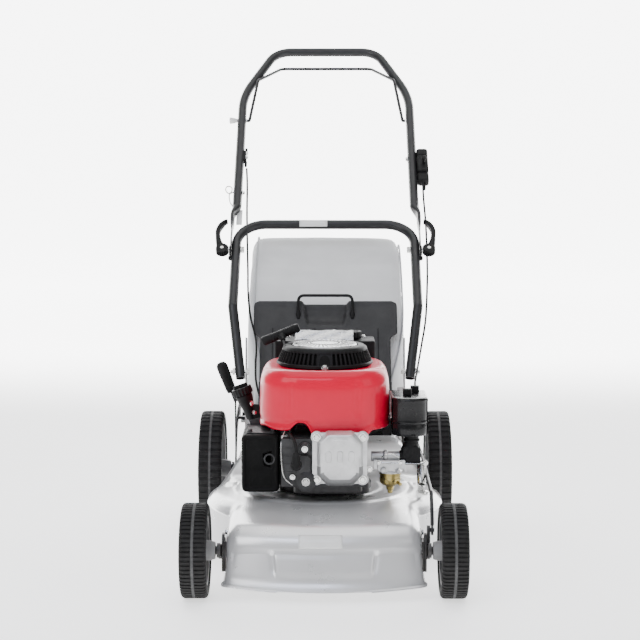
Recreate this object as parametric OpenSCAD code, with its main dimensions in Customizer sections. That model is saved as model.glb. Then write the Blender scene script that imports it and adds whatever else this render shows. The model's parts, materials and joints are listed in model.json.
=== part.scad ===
// Petrol push lawn mower: pressed-steel deck, four-stroke engine, folding tube handle, rear grass bag.
// Inside the modules X is across, Y runs back from the front axle and Z is the height above the ground.
// placed() moves each sub-part from there to the origin under the middle of the mower.

/* [Wheels] */
// Distance between the front and rear axles
wheelbase = 600; // [590:5:620]
// Outside diameter of a front tyre
front_wheel_d = 178; // [170:2:180]
// Outside diameter of a rear tyre
rear_wheel_d = 254; // [244:2:256]
// Width of a tyre
tyre_w = 50; // [44:1:52]
// Overall width over the front tyres
front_width = 533; // [528:1:540]
// Overall width over the rear tyres
rear_width = 550; // [546:1:560]

/* [Deck] */
// Diameter of the round blade housing
housing_d = 480; // [476:2:484]
// Height of the flat top that carries the engine
deck_top = 148; // [144:1:150]
// Thickness of the pressed steel
sheet = 2; // [1.5:0.5:3]
// Width of the front apron
apron_w = 368; // [360:2:376]
// Length of the blade from tip to tip
blade_l = 450; // [430:2:452]

/* [Engine] */
// Width of the red cooling shroud
shroud_w = 260; // [250:2:264]
// Height of the top of the shroud
shroud_top = 402; // [398:1:406]
// Radius of the recoil cover at its foot
recoil_r = 97; // [92:1:98]

/* [Handle] */
// Outside diameter of the handle tubes
tube_d = 22; // [20:1:22]
// Half of the distance between the upper legs' centre lines
upper_half = 213.5; // [213:0.5:214]
// Half of the distance between the lower legs' centre lines
lower_half = 209.7; // [209.5:0.1:209.8]
// Slope of the upper handle above the horizontal
upper_slope = 40.6; // [39:0.1:42]
// Slope of the lower handle above the horizontal
lower_slope = 38.5; // [38:0.1:39]
// Length of the upper handle from the fold bolt to the middle of its top bar
upper_l = 751; // [740:1:755]
// Diameter of the bail's rod
bail_d = 7.5; // [7:0.5:8]

/* [Grass bag] */
// Width of the fabric bag
bag_w = 370; // [350:2:374]
// Thickness of the bag's fabric wall
fabric = 3; // [2:0.5:4]

/* [Hidden] */
$fn = 48;

eps = 0.01;
run_gap = 0.06;
bolt_r = 4;
tube_r = tube_d / 2;
tube_wall = 1.5;
front_r = front_wheel_d / 2;
rear_r = rear_wheel_d / 2;
front_x = front_width / 2 - tyre_w / 2;
rear_x = rear_width / 2 - tyre_w / 2;
housing_r = housing_d / 2;
crank_y = 300;
skirt_z = 35;

// Height adjustment: each axle stub hangs on a crank arm of one cross shaft
arm_back = 48;
arm_down = 14;
shaft_r = 6;
stub_r = 8;
front_shaft = [arm_back, front_r - arm_down];
rear_shaft = [wheelbase + arm_back, rear_r - arm_down];
lug_up = 42;
pin_r = 4;

// Fold bolts of the handle, as [Y, Z]
fold = [840, 598.6];
foot = [620, 341];
foot_x = 190;
knee = [fold[0] - 190 * cos(lower_slope), fold[1] - 190 * sin(lower_slope)];
bracket_in = 175.5;
flange_in = 160;
peg = [648, 225];
flap_hinge = [600, 248];
flap_slope = 57;

// Back of the bail, and the middle of the whole length
bail_back = 1420;
back_y = bail_back + bail_d / 2;
origin_back = (back_y - front_r) / 2;

// ---------- shared helpers ----------
module placed() translate([0, -origin_back, 0]) children();
module pair() {
  children();
  mirror([1, 0, 0]) children();
}
// A rod of radius r between two points
module rod(p, q, r, r2 = undef) {
  v = q - p;
  l = norm(v);
  translate(p) rotate([0, acos(v[2] / l), atan2(v[1], v[0])])
    cylinder(h = l, r1 = r, r2 = is_undef(r2) ? r : r2);
}
// Extrudes an outline drawn in Y and Z along X, from x0
module across(x0, w) translate([x0, 0, 0]) rotate([90, 0, 90]) linear_extrude(w) children();
// Extrudes an outline drawn in X and Z along Y, from y0
module along(y0, l) translate([0, y0 + l, 0]) rotate([90, 0, 0]) linear_extrude(l) children();
// A cylinder along X, from x0, at a point given as [Y, Z]
module pin_x(x0, l, at, r) translate([x0, at[0], at[1]]) rotate([0, 90, 0]) cylinder(h = l, r = r);
// Children drawn with Y up the slope of a handle and Z square to it
module in_plane(at, slope) translate([0, at[0], at[1]]) rotate([slope, 0, 0]) children();
module box(lo, hi) translate(lo) cube(hi - lo);
// A swept tube of n sides along a list of points
function turn(p, i) = let (a = p[max(i - 1, 0)], b = p[min(i + 1, len(p) - 1)]) (b - a) / norm(b - a);
function side(t) = let (s = cross(t, [0.02, 0.1, 0.99])) s / norm(s);
module sweep(p, r, n = 8) {
  ring = [for (i = [0 : len(p) - 1]) let (t = turn(p, i), u = side(t), v = cross(t, u))
    each [for (k = [0 : n - 1]) p[i] + r * (u * cos(360 * k / n) + v * sin(360 * k / n))]];
  walls = [for (i = [0 : len(p) - 2], k = [0 : n - 1])
    [(i + 1) * n + k, (i + 1) * n + (k + 1) % n, i * n + (k + 1) % n, i * n + k]];
  first = [for (k = [0 : n - 1]) k];
  last = [for (k = [n - 1 : -1 : 0]) (len(p) - 1) * n + k];
  polyhedron(ring, concat(walls, [first, last]), 4);
}
// Points on a smooth curve through p, m of them to each stretch
function spline_at(a, b, c, d, t) = 0.5 * (2 * b + (c - a) * t + (2 * a - 5 * b + 4 * c - d) * t * t
  + (3 * b - a - 3 * c + d) * t * t * t);
function smooth(p, m) = concat([for (i = [0 : len(p) - 2], k = [0 : m - 1])
  spline_at(p[max(i - 1, 0)], p[i], p[i + 1], p[min(i + 2, len(p) - 1)], k / m)], [p[len(p) - 1]]);

// ---------- deck ----------
// The pressing's outside when t is 0, and its inside when t is the sheet's thickness
module deck_form(t) {
  floor_z = t > 0 ? 5 : skirt_z;
  shoulder_r = 36;
  translate([0, crank_y, 0]) {
    translate([0, 0, floor_z]) cylinder(h = deck_top - shoulder_r - floor_z, r = housing_r - t);
    translate([0, 0, floor_z]) cylinder(h = deck_top - t - floor_z, r = housing_r - shoulder_r);
    translate([0, 0, deck_top - shoulder_r]) rotate_extrude()
      intersection() {
        translate([housing_r - shoulder_r, 0]) circle(shoulder_r - t);
        translate([housing_r - shoulder_r - eps, -eps]) square(shoulder_r + 1);
      }
  }
  across(-apron_w / 2 + t, apron_w - 2 * t) polygon([
    [crank_y, deck_top - t], [crank_y - 210, deck_top - t], [0, 134 - t], [-28 + t, 112 - t / 2],
    [-45 + t, 45], [-56 + t, t > 0 ? 5 : 22], [crank_y, t > 0 ? 5 : 26]]);
  intersection() {
    translate([0, 0, t > 0 ? 5 : skirt_z]) linear_extrude(220) polygon([
      [housing_r - t, crank_y], [housing_r - t, 360], [218 - t, 450], [188 - t, 505], [188 - t, 590 - t],
      [t - 188, 590 - t], [t - 188, 505], [t - 218, 450], [t - housing_r, 360], [t - housing_r, crank_y]]);
    across(-250, 500) polygon([
      [crank_y, 5], [590, 5], [590, 205 - t], [500, 200 - t], [404, deck_top - 3 - t],
      [crank_y, deck_top - 8 - t]]);
    along(crank_y, 300) polygon([
      [-housing_r + t, 5], [-housing_r + t, 115], [-170, 206 - t], [170, 206 - t], [housing_r - t, 115],
      [housing_r - t, 5]]);
  }
}
module deck() color("silver") placed() difference() {
  deck_form(0);
  deck_form(sheet);
  translate([0, crank_y, deck_top - 20]) cylinder(h = 30, r = 48);
  box([-128, 580, 130], [128, 600, 192]);
  pin_x(-250, 500, front_shaft, shaft_r + run_gap);
}
// Square tunnel that leads the clippings from the deck to the bag
module discharge_chute() color("dimgray") placed() difference() {
  box([-132, 590, 126], [132, 642, 196]);
  box([-128, 589, 130], [128, 643, 192]);
}
module bracket_side() across(bracket_in, 3) polygon([
  [593, 98], [662, 98], [662, 150], [652, 215], [668, 410], [634, 416], [593, 215]]);
module bracket_flange() box([flange_in, 590, 98], [bracket_in + 3, 593, 198]);
module handle_brackets() color("gainsboro") placed() pair() difference() {
  union() {
    bracket_side();
    bracket_flange();
    across(flange_in, bracket_in - flange_in) polygon([[593, 212], [612, 307], [615, 307], [596, 212]]);
    pin_x(bracket_in + 3, 11.5, peg, bolt_r);
  }
  pin_x(150, bracket_in - 150, flap_hinge, bolt_r + 0.02);
  pin_x(150, 40, rear_shaft, shaft_r + run_gap);
  pin_x(150, 40, foot, bolt_r + run_gap);
}
module flap_rod() color("dimgray") placed() pin_x(-bracket_in, 2 * bracket_in, flap_hinge, bolt_r);

// ---------- engine ----------
shaft_big = 12.5;
module crankcase() color("dimgray") placed() difference() {
  union() {
    translate([0, crank_y, deck_top]) cylinder(h = 12, r = 95);
    translate([0, crank_y, deck_top + 12]) cylinder(h = 125, r = 78);
    box([-60, 205, deck_top + 14], [60, crank_y, 284]);
  }
  translate([0, crank_y, deck_top + 20]) cylinder(h = 105, r = 70);
  translate([0, crank_y, deck_top - 1]) cylinder(h = 140, r = shaft_big + run_gap);
}
// Finned barrel and head, lying forward
module fin(y) box([-68, y, 184], [70, y + 3, 278]);
module engine_cylinder() color("#2c2c2e") placed() difference() {
  union() {
    box([-84, 125, 184], [82, 150, 278]);
    box([-24, 125, 278], [82, 150, 289]);
    translate([0, 205, 238]) rotate([90, 0, 0]) barrel();
    for (i = [0 : 5]) fin(156 + 8 * i);
  }
  translate([0, 206, 238]) rotate([90, 0, 0]) barrel_bore();
}
module barrel() linear_extrude(58) circle(43);
module barrel_bore() linear_extrude(50) circle(33);
module cover_outline() polygon([
  [-24, 200], [-14, 190], [71, 190], [81, 200], [81, 287], [71, 297], [-14, 297], [-24, 287]]);
module valve_cover() color("lightgray") placed() {
  along(119, 6) cover_outline();
  along(104, 15) polygon([
    [-8, 214], [12, 200], [50, 200], [68, 214], [68, 272], [50, 288], [12, 288], [-8, 272]]);
}
module cover_bolts() color("silver") placed()
  for (x = [-15, 74], z = [206, 283])
    translate([x, 119, z]) rotate([90, 0, 0]) linear_extrude(6) circle(5.5);
module spark_plug() color("white") placed() {
  rod([-54, 125, 232], [-54, 112, 232], 9);
  rod([-54, 112, 232], [-54, 84, 232], 5);
}
module plug_cap() color("#202020") placed() difference() {
  union() {
    rod([-54, 104, 232], [-54, 76, 232], 10);
    rod([-54, 86, 232], [-54, 86, 254], 7);
  }
  rod([-54, 105, 232], [-54, 83.9, 232], 5.05);
}
lead_path = [[-54, 86, 254.2], [-54, 88, 264], [-57, 98, 275], [-62, 116, 283], [-68, 140, 284],
  [-74, 160, 288], [-78, 180, 300], [-78, 196, 310]];
module ignition_lead() color("#181818") placed() sweep(smooth(lead_path, 3), 3.5);
// Sheet-metal cowl with a bowed front, open below
module shroud_plan(t) intersection() {
  translate([0, 330]) circle(200 - t);
  translate([-shroud_w / 2 + t, 125]) square([shroud_w - 2 * t, 277 - t]);
}
module shroud() color("red") placed() difference() {
  translate([0, 0, 292]) linear_extrude(shroud_top - 292) shroud_plan(0);
  translate([0, 0, 291]) linear_extrude(shroud_top - 294) shroud_plan(3);
  translate([0, crank_y, shroud_top - 10]) cylinder(h = 20, r = 82);
}
recoil_h = 40;
module recoil_cover() color("#202020") placed() translate([0, crank_y, shroud_top]) {
  difference() {
    cylinder(h = recoil_h, r1 = recoil_r, r2 = 80);
    translate([0, 0, -eps]) cylinder(h = recoil_h - 3, r1 = recoil_r - 4, r2 = 77);
  }
  translate([0, 0, 8]) cylinder(h = recoil_h - 10, r = 6);
}
module recoil_pulley() color("gray") placed() translate([0, crank_y, shroud_top + 10]) difference() {
  union() {
    cylinder(h = 3, r = 52);
    cylinder(h = 15, r = 45);
    translate([0, 0, 12]) cylinder(h = 3, r = 52);
  }
  translate([0, 0, -1]) cylinder(h = 20, r = 6 + run_gap);
}
grip_mid = [-90, 352, 456];
grip_dir = [0.928, 0, 0.371];
pull_dir = [-0.189, 0.903, 0.385];
module starter_grip() color("#252525") placed() {
  rod(grip_mid - 40 * grip_dir, grip_mid + 40 * grip_dir, 9);
  rod(grip_mid - 8 * pull_dir, grip_mid - 26 * pull_dir, 8, 5);
}
// Exhaust box, with its outlet pipe, behind its guard
outlet = [-108, 233];
module outlet_pipe(y0, y1, r) translate([outlet[0], y1, outlet[1]]) rotate([90, 0, 0])
  linear_extrude(y1 - y0) circle(r);
module muffler() color("#303030") placed() difference() {
  union() {
    difference() {
      box([-156, 160, 174], [-92, 286, 272]);
      box([-153.5, 162.5, 176.5], [-94.5, 283.5, 269.5]);
    }
    box([-92, 164, 226], [-68, 178, 254]);
    outlet_pipe(152, 182, 11);
  }
  outlet_pipe(150, 184, 8);
}
module muffler_guard() color("#181818") placed() difference() {
  box([-162.5, 150, 167], [-89, 288, 281]);
  box([-160.5, 152, 160], [-80, 290, 279]);
  outlet_pipe(130, 170, 14);
}
cap_at = [48, 444];
module fuel_tank() color("#282828") placed() difference() {
  union() {
    box([-105, 402, 312], [105, 486, 436]);
    translate([cap_at[0], cap_at[1], 436]) linear_extrude(8) circle(22);
  }
  box([-101, 406, 316], [101, 482, 432]);
  translate([cap_at[0], cap_at[1], 430]) linear_extrude(20) circle(19);
}
module fuel_cap() color("#151515") placed() translate([cap_at[0], cap_at[1], 0]) difference() {
  translate([0, 0, 438]) cylinder(h = 15, r = 30);
  translate([0, 0, 430]) cylinder(h = 18, r = 22.3);
}
neck_low = [-150, 341, 283];
neck_dir = [-0.342, 0, 0.94];
module oil_filler() color("#202020") placed() difference() {
  union() {
    rod([-82, 320, 208], neck_low, 9);
    translate(neck_low) sphere(9.1);
    rod(neck_low, neck_low + 52 * neck_dir, 10, 17);
  }
  rod(neck_low + 20 * neck_dir, neck_low + 53 * neck_dir, 9);
}
module oil_cap() color("#101010") placed() rod(neck_low + 52.3 * neck_dir, neck_low + 68 * neck_dir, 21);
module carburettor() color("lightgray") placed() {
  box([100, 176, 203], [150, 206, 226]);
  rod([84, 190, 232], [156, 190, 232], 7);
}
module float_bowl() color("#b59a4a") placed() translate([130, 190, 0]) {
  translate([0, 0, 176]) cylinder(h = 27, r = 21);
  translate([0, 0, 166]) cylinder(h = 10, r1 = 10, r2 = 17);
  translate([0, 0, 158]) cylinder(h = 8, r = 4);
}
module intake_elbow() color("#151515") placed() {
  box([156, 172, 214], [188, 208, 262]);
  translate([172, 190, 262]) cylinder(h = 15, r = 14);
}
module filter_plan(t) polygon([
  [132 + t, 272 - t], [132 + t, 162 + t], [148, 150 + t], [186, 150 + t], [203 - t, 162 + t],
  [203 - t, 272 - t]]);
module filter_base() color("#181818") placed() difference() {
  translate([0, 0, 277]) linear_extrude(24) filter_plan(0);
  translate([0, 0, 281]) linear_extrude(30) filter_plan(3);
  translate([172, 190, 270]) cylinder(h = 20, r = 11);
}
module filter_cover() color("#101010") placed() difference() {
  translate([0, 0, 301]) linear_extrude(52) filter_plan(0);
  translate([0, 0, 300]) linear_extrude(50) filter_plan(3);
}
// Stub of pipe on the deck for a rinsing hose
port_mouth = [193, 206, 172];
port_dir = [0, 0.6, 0.8];
port_bore = 6;
port_depth = 40;
module wash_port() color("silver") placed() difference() {
  union() {
    rod(port_mouth, port_mouth + 45 * port_dir, 8.5);
    box([189, 222, 148], [197, 232, 200]);
  }
  rod(port_mouth - port_dir, port_mouth + port_depth * port_dir, port_bore);
}

// ---------- turning parts ----------
module crankshaft() color("silver") placed() translate([0, crank_y, 0]) {
  translate([0, 0, 56]) cylinder(h = 92, r = 11);
  translate([0, 0, 148]) cylinder(h = 152, r = shaft_big);
  translate([0, 0, 300]) cylinder(h = 72, r = 10);
}
module flywheel() color("silver") placed() translate([0, crank_y, 318]) difference() {
  union() {
    cylinder(h = 22, r = 85);
    for (a = [0 : 30 : 330]) rotate([0, 0, a]) translate([55, -1.5, 22]) cube([28, 3, 18]);
    cylinder(h = 40, r = 20);
  }
  translate([0, 0, -1]) cylinder(h = 50, r = 10.02);
}
module blade_adapter() color("gray") placed() translate([0, crank_y, 46]) difference() {
  union() {
    cylinder(h = 5, r = 36);
    cylinder(h = 34, r = 20);
  }
  translate([0, 0, 10]) cylinder(h = 30, r = 11.02);
  translate([0, 0, -1]) cylinder(h = 20, r = 5.1);
}
module blade() color("dimgray") placed() translate([0, crank_y, 42]) difference() {
  union() {
    translate([-blade_l / 2, -25, 0]) cube([blade_l, 50, 4]);
    for (s = [0, 180]) rotate([0, 0, s]) translate([140, 15, 4]) rotate([90, 0, 90])
      linear_extrude(blade_l / 2 - 140 - 4) polygon([[0, 0], [10, 0], [10, 14]]);
  }
  translate([0, 0, -1]) cylinder(h = 10, r = 5.1);
}
module blade_bolt() color("silver") placed() translate([0, crank_y, 35]) {
  linear_extrude(7) circle(9, $fn = 6);
  translate([0, 0, 7]) cylinder(h = 13, r = 5);
}

// ---------- wheels and height adjustment ----------
module crank_arm(x0, w, shaft, stub, reach) {
  pin_x(x0, w, shaft, 14);
  pin_x(x0, w, stub, 14);
  a = atan2(stub[1] - shaft[1], stub[0] - shaft[0]);
  l = norm(stub - shaft);
  across(x0, w) translate(shaft) rotate(a) translate([0, -11]) square([l, 22]);
  if (reach > 0) {
    across(x0, w) translate(shaft) translate([-9, 0]) square([18, reach]);
    pin_x(x0, w, shaft + [0, reach], 9);
  }
}
module front_axle() color("#303032") placed() {
  pin_x(-195, 390, front_shaft, shaft_r);
  crank_arm(195, 6, front_shaft, [0, front_r], lug_up);
  mirror([1, 0, 0]) crank_arm(195, 6, front_shaft, [0, front_r], 0);
  pin_x(201, 61, [0, front_r], stub_r);
  pin_x(-262, 61, [0, front_r], stub_r);
  pin_x(201, 8, front_shaft + [0, lug_up], pin_r);
}
module rear_axle() color("#303032") placed() {
  pin_x(-203, 406, rear_shaft, shaft_r);
  crank_arm(203, 5, rear_shaft, [wheelbase, rear_r], lug_up);
  mirror([1, 0, 0]) crank_arm(203, 5, rear_shaft, [wheelbase, rear_r], 0);
  pin_x(208, 62, [wheelbase, rear_r], stub_r);
  pin_x(-270, 62, [wheelbase, rear_r], stub_r);
  pin_x(196, 7, rear_shaft + [0, lug_up], pin_r);
}
module wheel_nut(x0, at) difference() {
  translate([x0, at[0], at[1]]) rotate([0, 90, 0]) linear_extrude(7) circle(13, $fn = 6);
  pin_x(x0 - 1, 9, at, stub_r);
}
module wheel_nuts_front() color("silver") placed() pair() wheel_nut(254.5, [0, front_r]);
module wheel_nuts_rear() color("silver") placed() pair() wheel_nut(262.5, [wheelbase, rear_r]);
// Eye-ended rod that turns the front axle with the rear one
link_path = [[205, 48, 126], [205, 60, 156], [205, 85, 182], [205, 384, 192], [200, 596, 196],
  [200, 632, 184], [200, 645, 164]];
module height_link() color("#3a3a3c") placed() difference() {
  union() {
    pin_x(203, 4, front_shaft + [0, lug_up], 10);
    pin_x(198, 4, rear_shaft + [0, lug_up], 10);
    for (i = [0 : len(link_path) - 2]) rod(link_path[i], link_path[i + 1], 3.5);
    for (i = [1 : len(link_path) - 2]) translate(link_path[i]) sphere(3.6);
  }
  pin_x(190, 30, front_shaft + [0, lug_up], pin_r + run_gap);
  pin_x(190, 30, rear_shaft + [0, lug_up], pin_r + run_gap);
}
lever_x = 203;
grip_low = [-209, 631, 294];
grip_high = [-230, 627, 350];
module height_lever() color("#202020") placed() {
  difference() {
    union() {
      mirror([1, 0, 0]) pin_x(lever_x - 3, 3, rear_shaft, 13);
      mirror([1, 0, 0]) across(lever_x - 3, 3) polygon([
        rear_shaft + [-10, 0], rear_shaft + [10, 0], [643, 282], [627, 282]]);
    }
    pin_x(-210, 20, rear_shaft, shaft_r);
  }
  rod([-200.5, 635, 272], grip_low + [-5, 0, 14], 4.5);
}
module height_grip() color("#151515") placed() difference() {
  union() {
    rod(grip_low, grip_high, 11, 12.8);
    translate(grip_high) sphere(12.9);
  }
  rod([-200.5, 635, 272], grip_low + [-5, 0, 14], 4.5);
}
module height_rack() color("gray") placed() {
  across(-196, 3) difference() {
    translate(rear_shaft) circle(150);
    translate(rear_shaft) circle(126);
    translate(rear_shaft + [-200, -200]) square([400, 200]);
    translate(rear_shaft) rotate(66) translate([0, -200]) square([200, 200]);
    translate(rear_shaft) rotate(148) translate([-200, 0]) square([200, 100]);
    for (k = [0 : 5]) translate(rear_shaft) rotate(94 + 9 * k) translate([146, -3]) square([8, 6]);
  }
  box([-193, 604, 236], [-178.5, 616, 242]);
}
// Solid-rubber tyre with rounded shoulders, on a moulded rim
module tyre(x, y, r, wall, shoulder) translate([x, y, r]) rotate([0, 90, 0]) rotate_extrude()
  difference() {
    translate([r - wall, -tyre_w / 2]) square([wall, tyre_w]);
    for (s = [-1, 1]) difference() {
      translate([r - shoulder, s * (tyre_w / 2 - shoulder / 2) - shoulder / 2]) square(shoulder + 1);
      translate([r - shoulder, s * (tyre_w / 2 - shoulder)]) circle(shoulder);
    }
  }
module rim(x, y, r, hub_in, hub_out) translate([x, y, 0]) {
  difference() {
    union() {
      rotate([0, 90, 0]) difference() {
        translate([0, 0, -tyre_w / 2 + 3]) cylinder(h = tyre_w - 6, r = r);
        translate([0, 0, -tyre_w / 2 + 2]) cylinder(h = tyre_w - 4, r = r - 5);
      }
      rotate([0, 90, 0]) translate([0, 0, -3]) cylinder(h = 6, r = r - 4);
      translate([hub_in - x, 0, 0]) rotate([0, 90, 0]) cylinder(h = hub_out - hub_in, r = 19);
    }
    translate([-60, 0, 0]) rotate([0, 90, 0]) cylinder(h = 120, r = stub_r + run_gap);
  }
}
module front_tyre() tyre(front_x, 0, front_r, 22, 6);
module front_rim() translate([0, 0, front_r]) rim(front_x, 0, front_r - 22, 204, 254);
module rear_tyre() tyre(rear_x, wheelbase, rear_r, 27, 6);
module rear_rim() translate([0, 0, rear_r]) rim(rear_x, wheelbase, rear_r - 27, 210, 262);
module front_tyre_left() color("#303030") placed() mirror([1, 0, 0]) front_tyre();
module front_rim_left() color("gray") placed() mirror([1, 0, 0]) front_rim();
module front_tyre_right() color("#303030") placed() front_tyre();
module front_rim_right() color("gray") placed() front_rim();
module rear_tyre_left() color("#303030") placed() mirror([1, 0, 0]) rear_tyre();
module rear_rim_left() color("gray") placed() mirror([1, 0, 0]) rear_rim();
module rear_tyre_right() color("#303030") placed() rear_tyre();
module rear_rim_right() color("gray") placed() rear_rim();

// ---------- handle ----------
module bend(r, a, t) rotate_extrude(angle = a) translate([r, 0]) circle(tube_r - t);
lower_bend = 69;
crossbar_s = 90;
// The outside of a leg when t is 0, and its inside when t is the tube's wall
module lower_leg(t) {
  in_plane(fold, lower_slope) {
    translate([lower_half - lower_bend, crossbar_s - lower_bend, 0]) bend(lower_bend, 90, t);
    translate([lower_half, -190, 0]) rotate([-90, 0, 0])
      cylinder(h = 190 + crossbar_s - lower_bend, r = tube_r - t);
  }
  knee_at = [lower_half, knee[0], knee[1]];
  v = [foot_x, foot[0], foot[1]] - knee_at;
  translate(knee_at) sphere(tube_r - t + 0.1);
  rod(knee_at, knee_at + v * (1 + (16 + t) / norm(v)), tube_r - t);
}
module lower_tube(t) {
  in_plane(fold, lower_slope) translate([lower_bend - lower_half, crossbar_s, 0]) rotate([0, 90, 0])
    cylinder(h = 2 * (lower_half - lower_bend), r = tube_r - t);
  lower_leg(t);
  mirror([1, 0, 0]) lower_leg(t);
}
module lower_handle() color("#404043") placed() difference() {
  lower_tube(0);
  lower_tube(tube_wall);
  pin_x(-230, 460, fold, bolt_r + run_gap);
  pin_x(-230, 460, foot, bolt_r + run_gap);
  box([-178.9, foot[0] - 40, foot[1] - 40], [178.9, foot[0] + 40, foot[1] + 10]);
}
// Top bar, two bends and a slanted shoulder on each side, then a leg flattened where it is bolted
top_bend = 60;
shoulder_turn = 66;
wide_bend = 250;
top_half = 93;
flat_s = 118;
round_s = 150;
flat_w = 15;
flat_t = 3.6;
flat_end = -30;
outer_x = upper_half + tube_r;
wide_drop = wide_bend * sin(90 - shoulder_turn);
turned_x = top_half + top_bend * sin(shoulder_turn);
turned_s = upper_l - top_bend * (1 - cos(shoulder_turn));
wide_x = upper_half - wide_bend * (1 - sin(shoulder_turn));
wide_s = turned_s - (wide_x - turned_x) * tan(shoulder_turn) - wide_drop;
// Centre line of the right half, from the middle of the top bar to where the leg is flattened
function arc(c, r, a0, a1, n) = [for (i = [0 : n]) let (a = a0 + (a1 - a0) * i / n)
  [c[0] + r * cos(a), c[1] + r * sin(a), 0]];
right_half = concat(
  arc([top_half, upper_l - top_bend], top_bend, 90, 90 - shoulder_turn, 7),
  arc([upper_half - wide_bend, wide_s], wide_bend, 90 - shoulder_turn, 0, 5),
  [[upper_half, round_s + 60, 0], [upper_half, round_s, 0]]);
function mirrored(p) = [for (i = [len(p) - 1 : -1 : 0]) [-p[i][0], p[i][1], p[i][2]]];
module flat_end_plate() {
  difference() {
    translate([upper_half, flat_s, 0]) rotate([-90, 0, 0]) cylinder(h = round_s - flat_s, r = tube_r - 0.15);
    translate([0, 0, -20]) linear_extrude(40) polygon([
      [outer_x - flat_t, flat_s - 1], [outer_x - flat_t, flat_s + 4],
      [upper_half - tube_r - 1, round_s - 2], [upper_half - tube_r - 1, flat_s - 1]]);
  }
  difference() {
    union() {
      translate([outer_x - flat_t, flat_end, -flat_w])
        cube([flat_t, flat_s + 3 - flat_end, 2 * flat_w]);
      translate([outer_x - flat_t, flat_end, 0]) rotate([0, 90, 0]) linear_extrude(flat_t) circle(flat_w);
    }
    translate([outer_x - flat_t - 1, 0, 0]) rotate([0, 90, 0]) cylinder(h = flat_t + 2, r = bolt_r + run_gap);
  }
}
module upper_handle() color("#404043") placed() in_plane(fold, upper_slope) {
  sweep(concat(mirrored(right_half), right_half), tube_r, 16);
  flat_end_plate();
  mirror([1, 0, 0]) flat_end_plate();
}
cam_x = 243;
module fold_bolt() {
  pin_x(191, cam_x - 191, fold, bolt_r);
  in_plane(fold, lower_slope) translate([cam_x, 0, -9]) cylinder(h = 18, r = bolt_r);
  translate([191, fold[0], fold[1]]) rotate([0, 90, 0]) linear_extrude(6) circle(7.5, $fn = 6);
}
module foot_bolt() {
  pin_x(169, 42, foot, bolt_r);
  translate([169, foot[0], foot[1]]) rotate([0, 90, 0]) linear_extrude(6) circle(7.5, $fn = 6);
  translate([201.6, foot[0], foot[1]]) rotate([0, 90, 0]) linear_extrude(5) circle(8, $fn = 6);
}
module handle_bolts() color("silver") placed() pair() {
  fold_bolt();
  foot_bolt();
}
// Hooked quick-release lever that turns on the cross pin of the fold bolt
module cam_lever() in_plane(fold, lower_slope) difference() {
  union() {
    translate([242, 0, -8.5]) cylinder(h = 17, r = 15);
    translate([0, 0, -8.5]) linear_extrude(17) polygon([
      [232, 8], [240, 30], [246, 45], [249, 62], [247, 76], [240, 88], [232, 94], [236, 104], [246, 98],
      [255, 86], [258, 70], [258, 40], [255, -4], [240, -6]]);
  }
  translate([cam_x, 0, -10]) cylinder(h = 20, r = bolt_r + run_gap);
  translate([220, -16, -4.5]) cube([27.5, 36, 9]);
}
module cam_lever_left() color("#151515") placed() mirror([1, 0, 0]) cam_lever();
module cam_lever_right() color("#151515") placed() cam_lever();
// Bent rod that is squeezed against the top bar to keep the engine running
bail_pivot = [194.6, 1197, 904];
bail_corner = [176, 1297.9, 1009.4];
bail_top = [119, bail_back, 1044];
bail_r = bail_d / 2;
module bail_side() {
  rod(bail_pivot + [7, 0, 0], bail_pivot, bail_r);
  rod(bail_pivot, bail_corner, bail_r);
  rod(bail_corner, bail_top, bail_r);
  for (p = [bail_pivot, bail_corner, bail_top]) translate(p) sphere(bail_r + 0.1);
}
module bail() color("#303033") placed() {
  bail_side();
  mirror([1, 0, 0]) bail_side();
  pin_x(-bail_top[0], 2 * bail_top[0], [bail_top[1], bail_top[2]], bail_r);
}
throttle_s = 292;
module throttle_housing() color("#181818") placed() in_plane(fold, upper_slope) {
  difference() {
    translate([225, 234, -14]) cube([31, 115, 28]);
    translate([237.5, throttle_s - 38, -8]) cube([7, 76, 30]);
  }
  translate([236, throttle_s, 2]) rotate([0, 90, 0]) cylinder(h = 10, r = 3);
}
module throttle_lever() color("#101010") placed() in_plane(fold, upper_slope) difference() {
  union() {
    translate([238, throttle_s, 2]) rotate([0, 90, 0]) cylinder(h = 6, r = 9);
    translate([238, throttle_s - 5, 2]) cube([6, 10, 32]);
  }
  translate([230, throttle_s, 2]) rotate([0, 90, 0]) cylinder(h = 20, r = 3 + run_gap);
}
// Sheathed cables from the handle to the engine, held at both ends
brake_path = [[-196, 1075, 785], [-193, 1040, 745], [-190, 960, 678], [-186, 890, 612], [-182, 830, 556],
  [-178, 760, 500], [-171, 715, 455], [-158, 680, 410], [-154.5, 640, 382], [-154.5, 600, 360],
  [-150, 540, 325], [-132, 480, 285], [-100, 420, 250], [-58, 358, 230]];
throttle_path = [[236, 1004, 758], [237, 980, 716], [240, 925, 650], [240, 860, 566], [236, 790, 512],
  [229, 720, 448], [216, 650, 396], [204, 560, 365], [192, 450, 344], [184, 340, 330], [162, 300, 270],
  [158, 240, 246], [158, 211, 240]];
module control_cables() color("#202020") placed() {
  sweep(smooth(brake_path, 2), 2.5);
  sweep(smooth(throttle_path, 2), 2.5);
}

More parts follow.
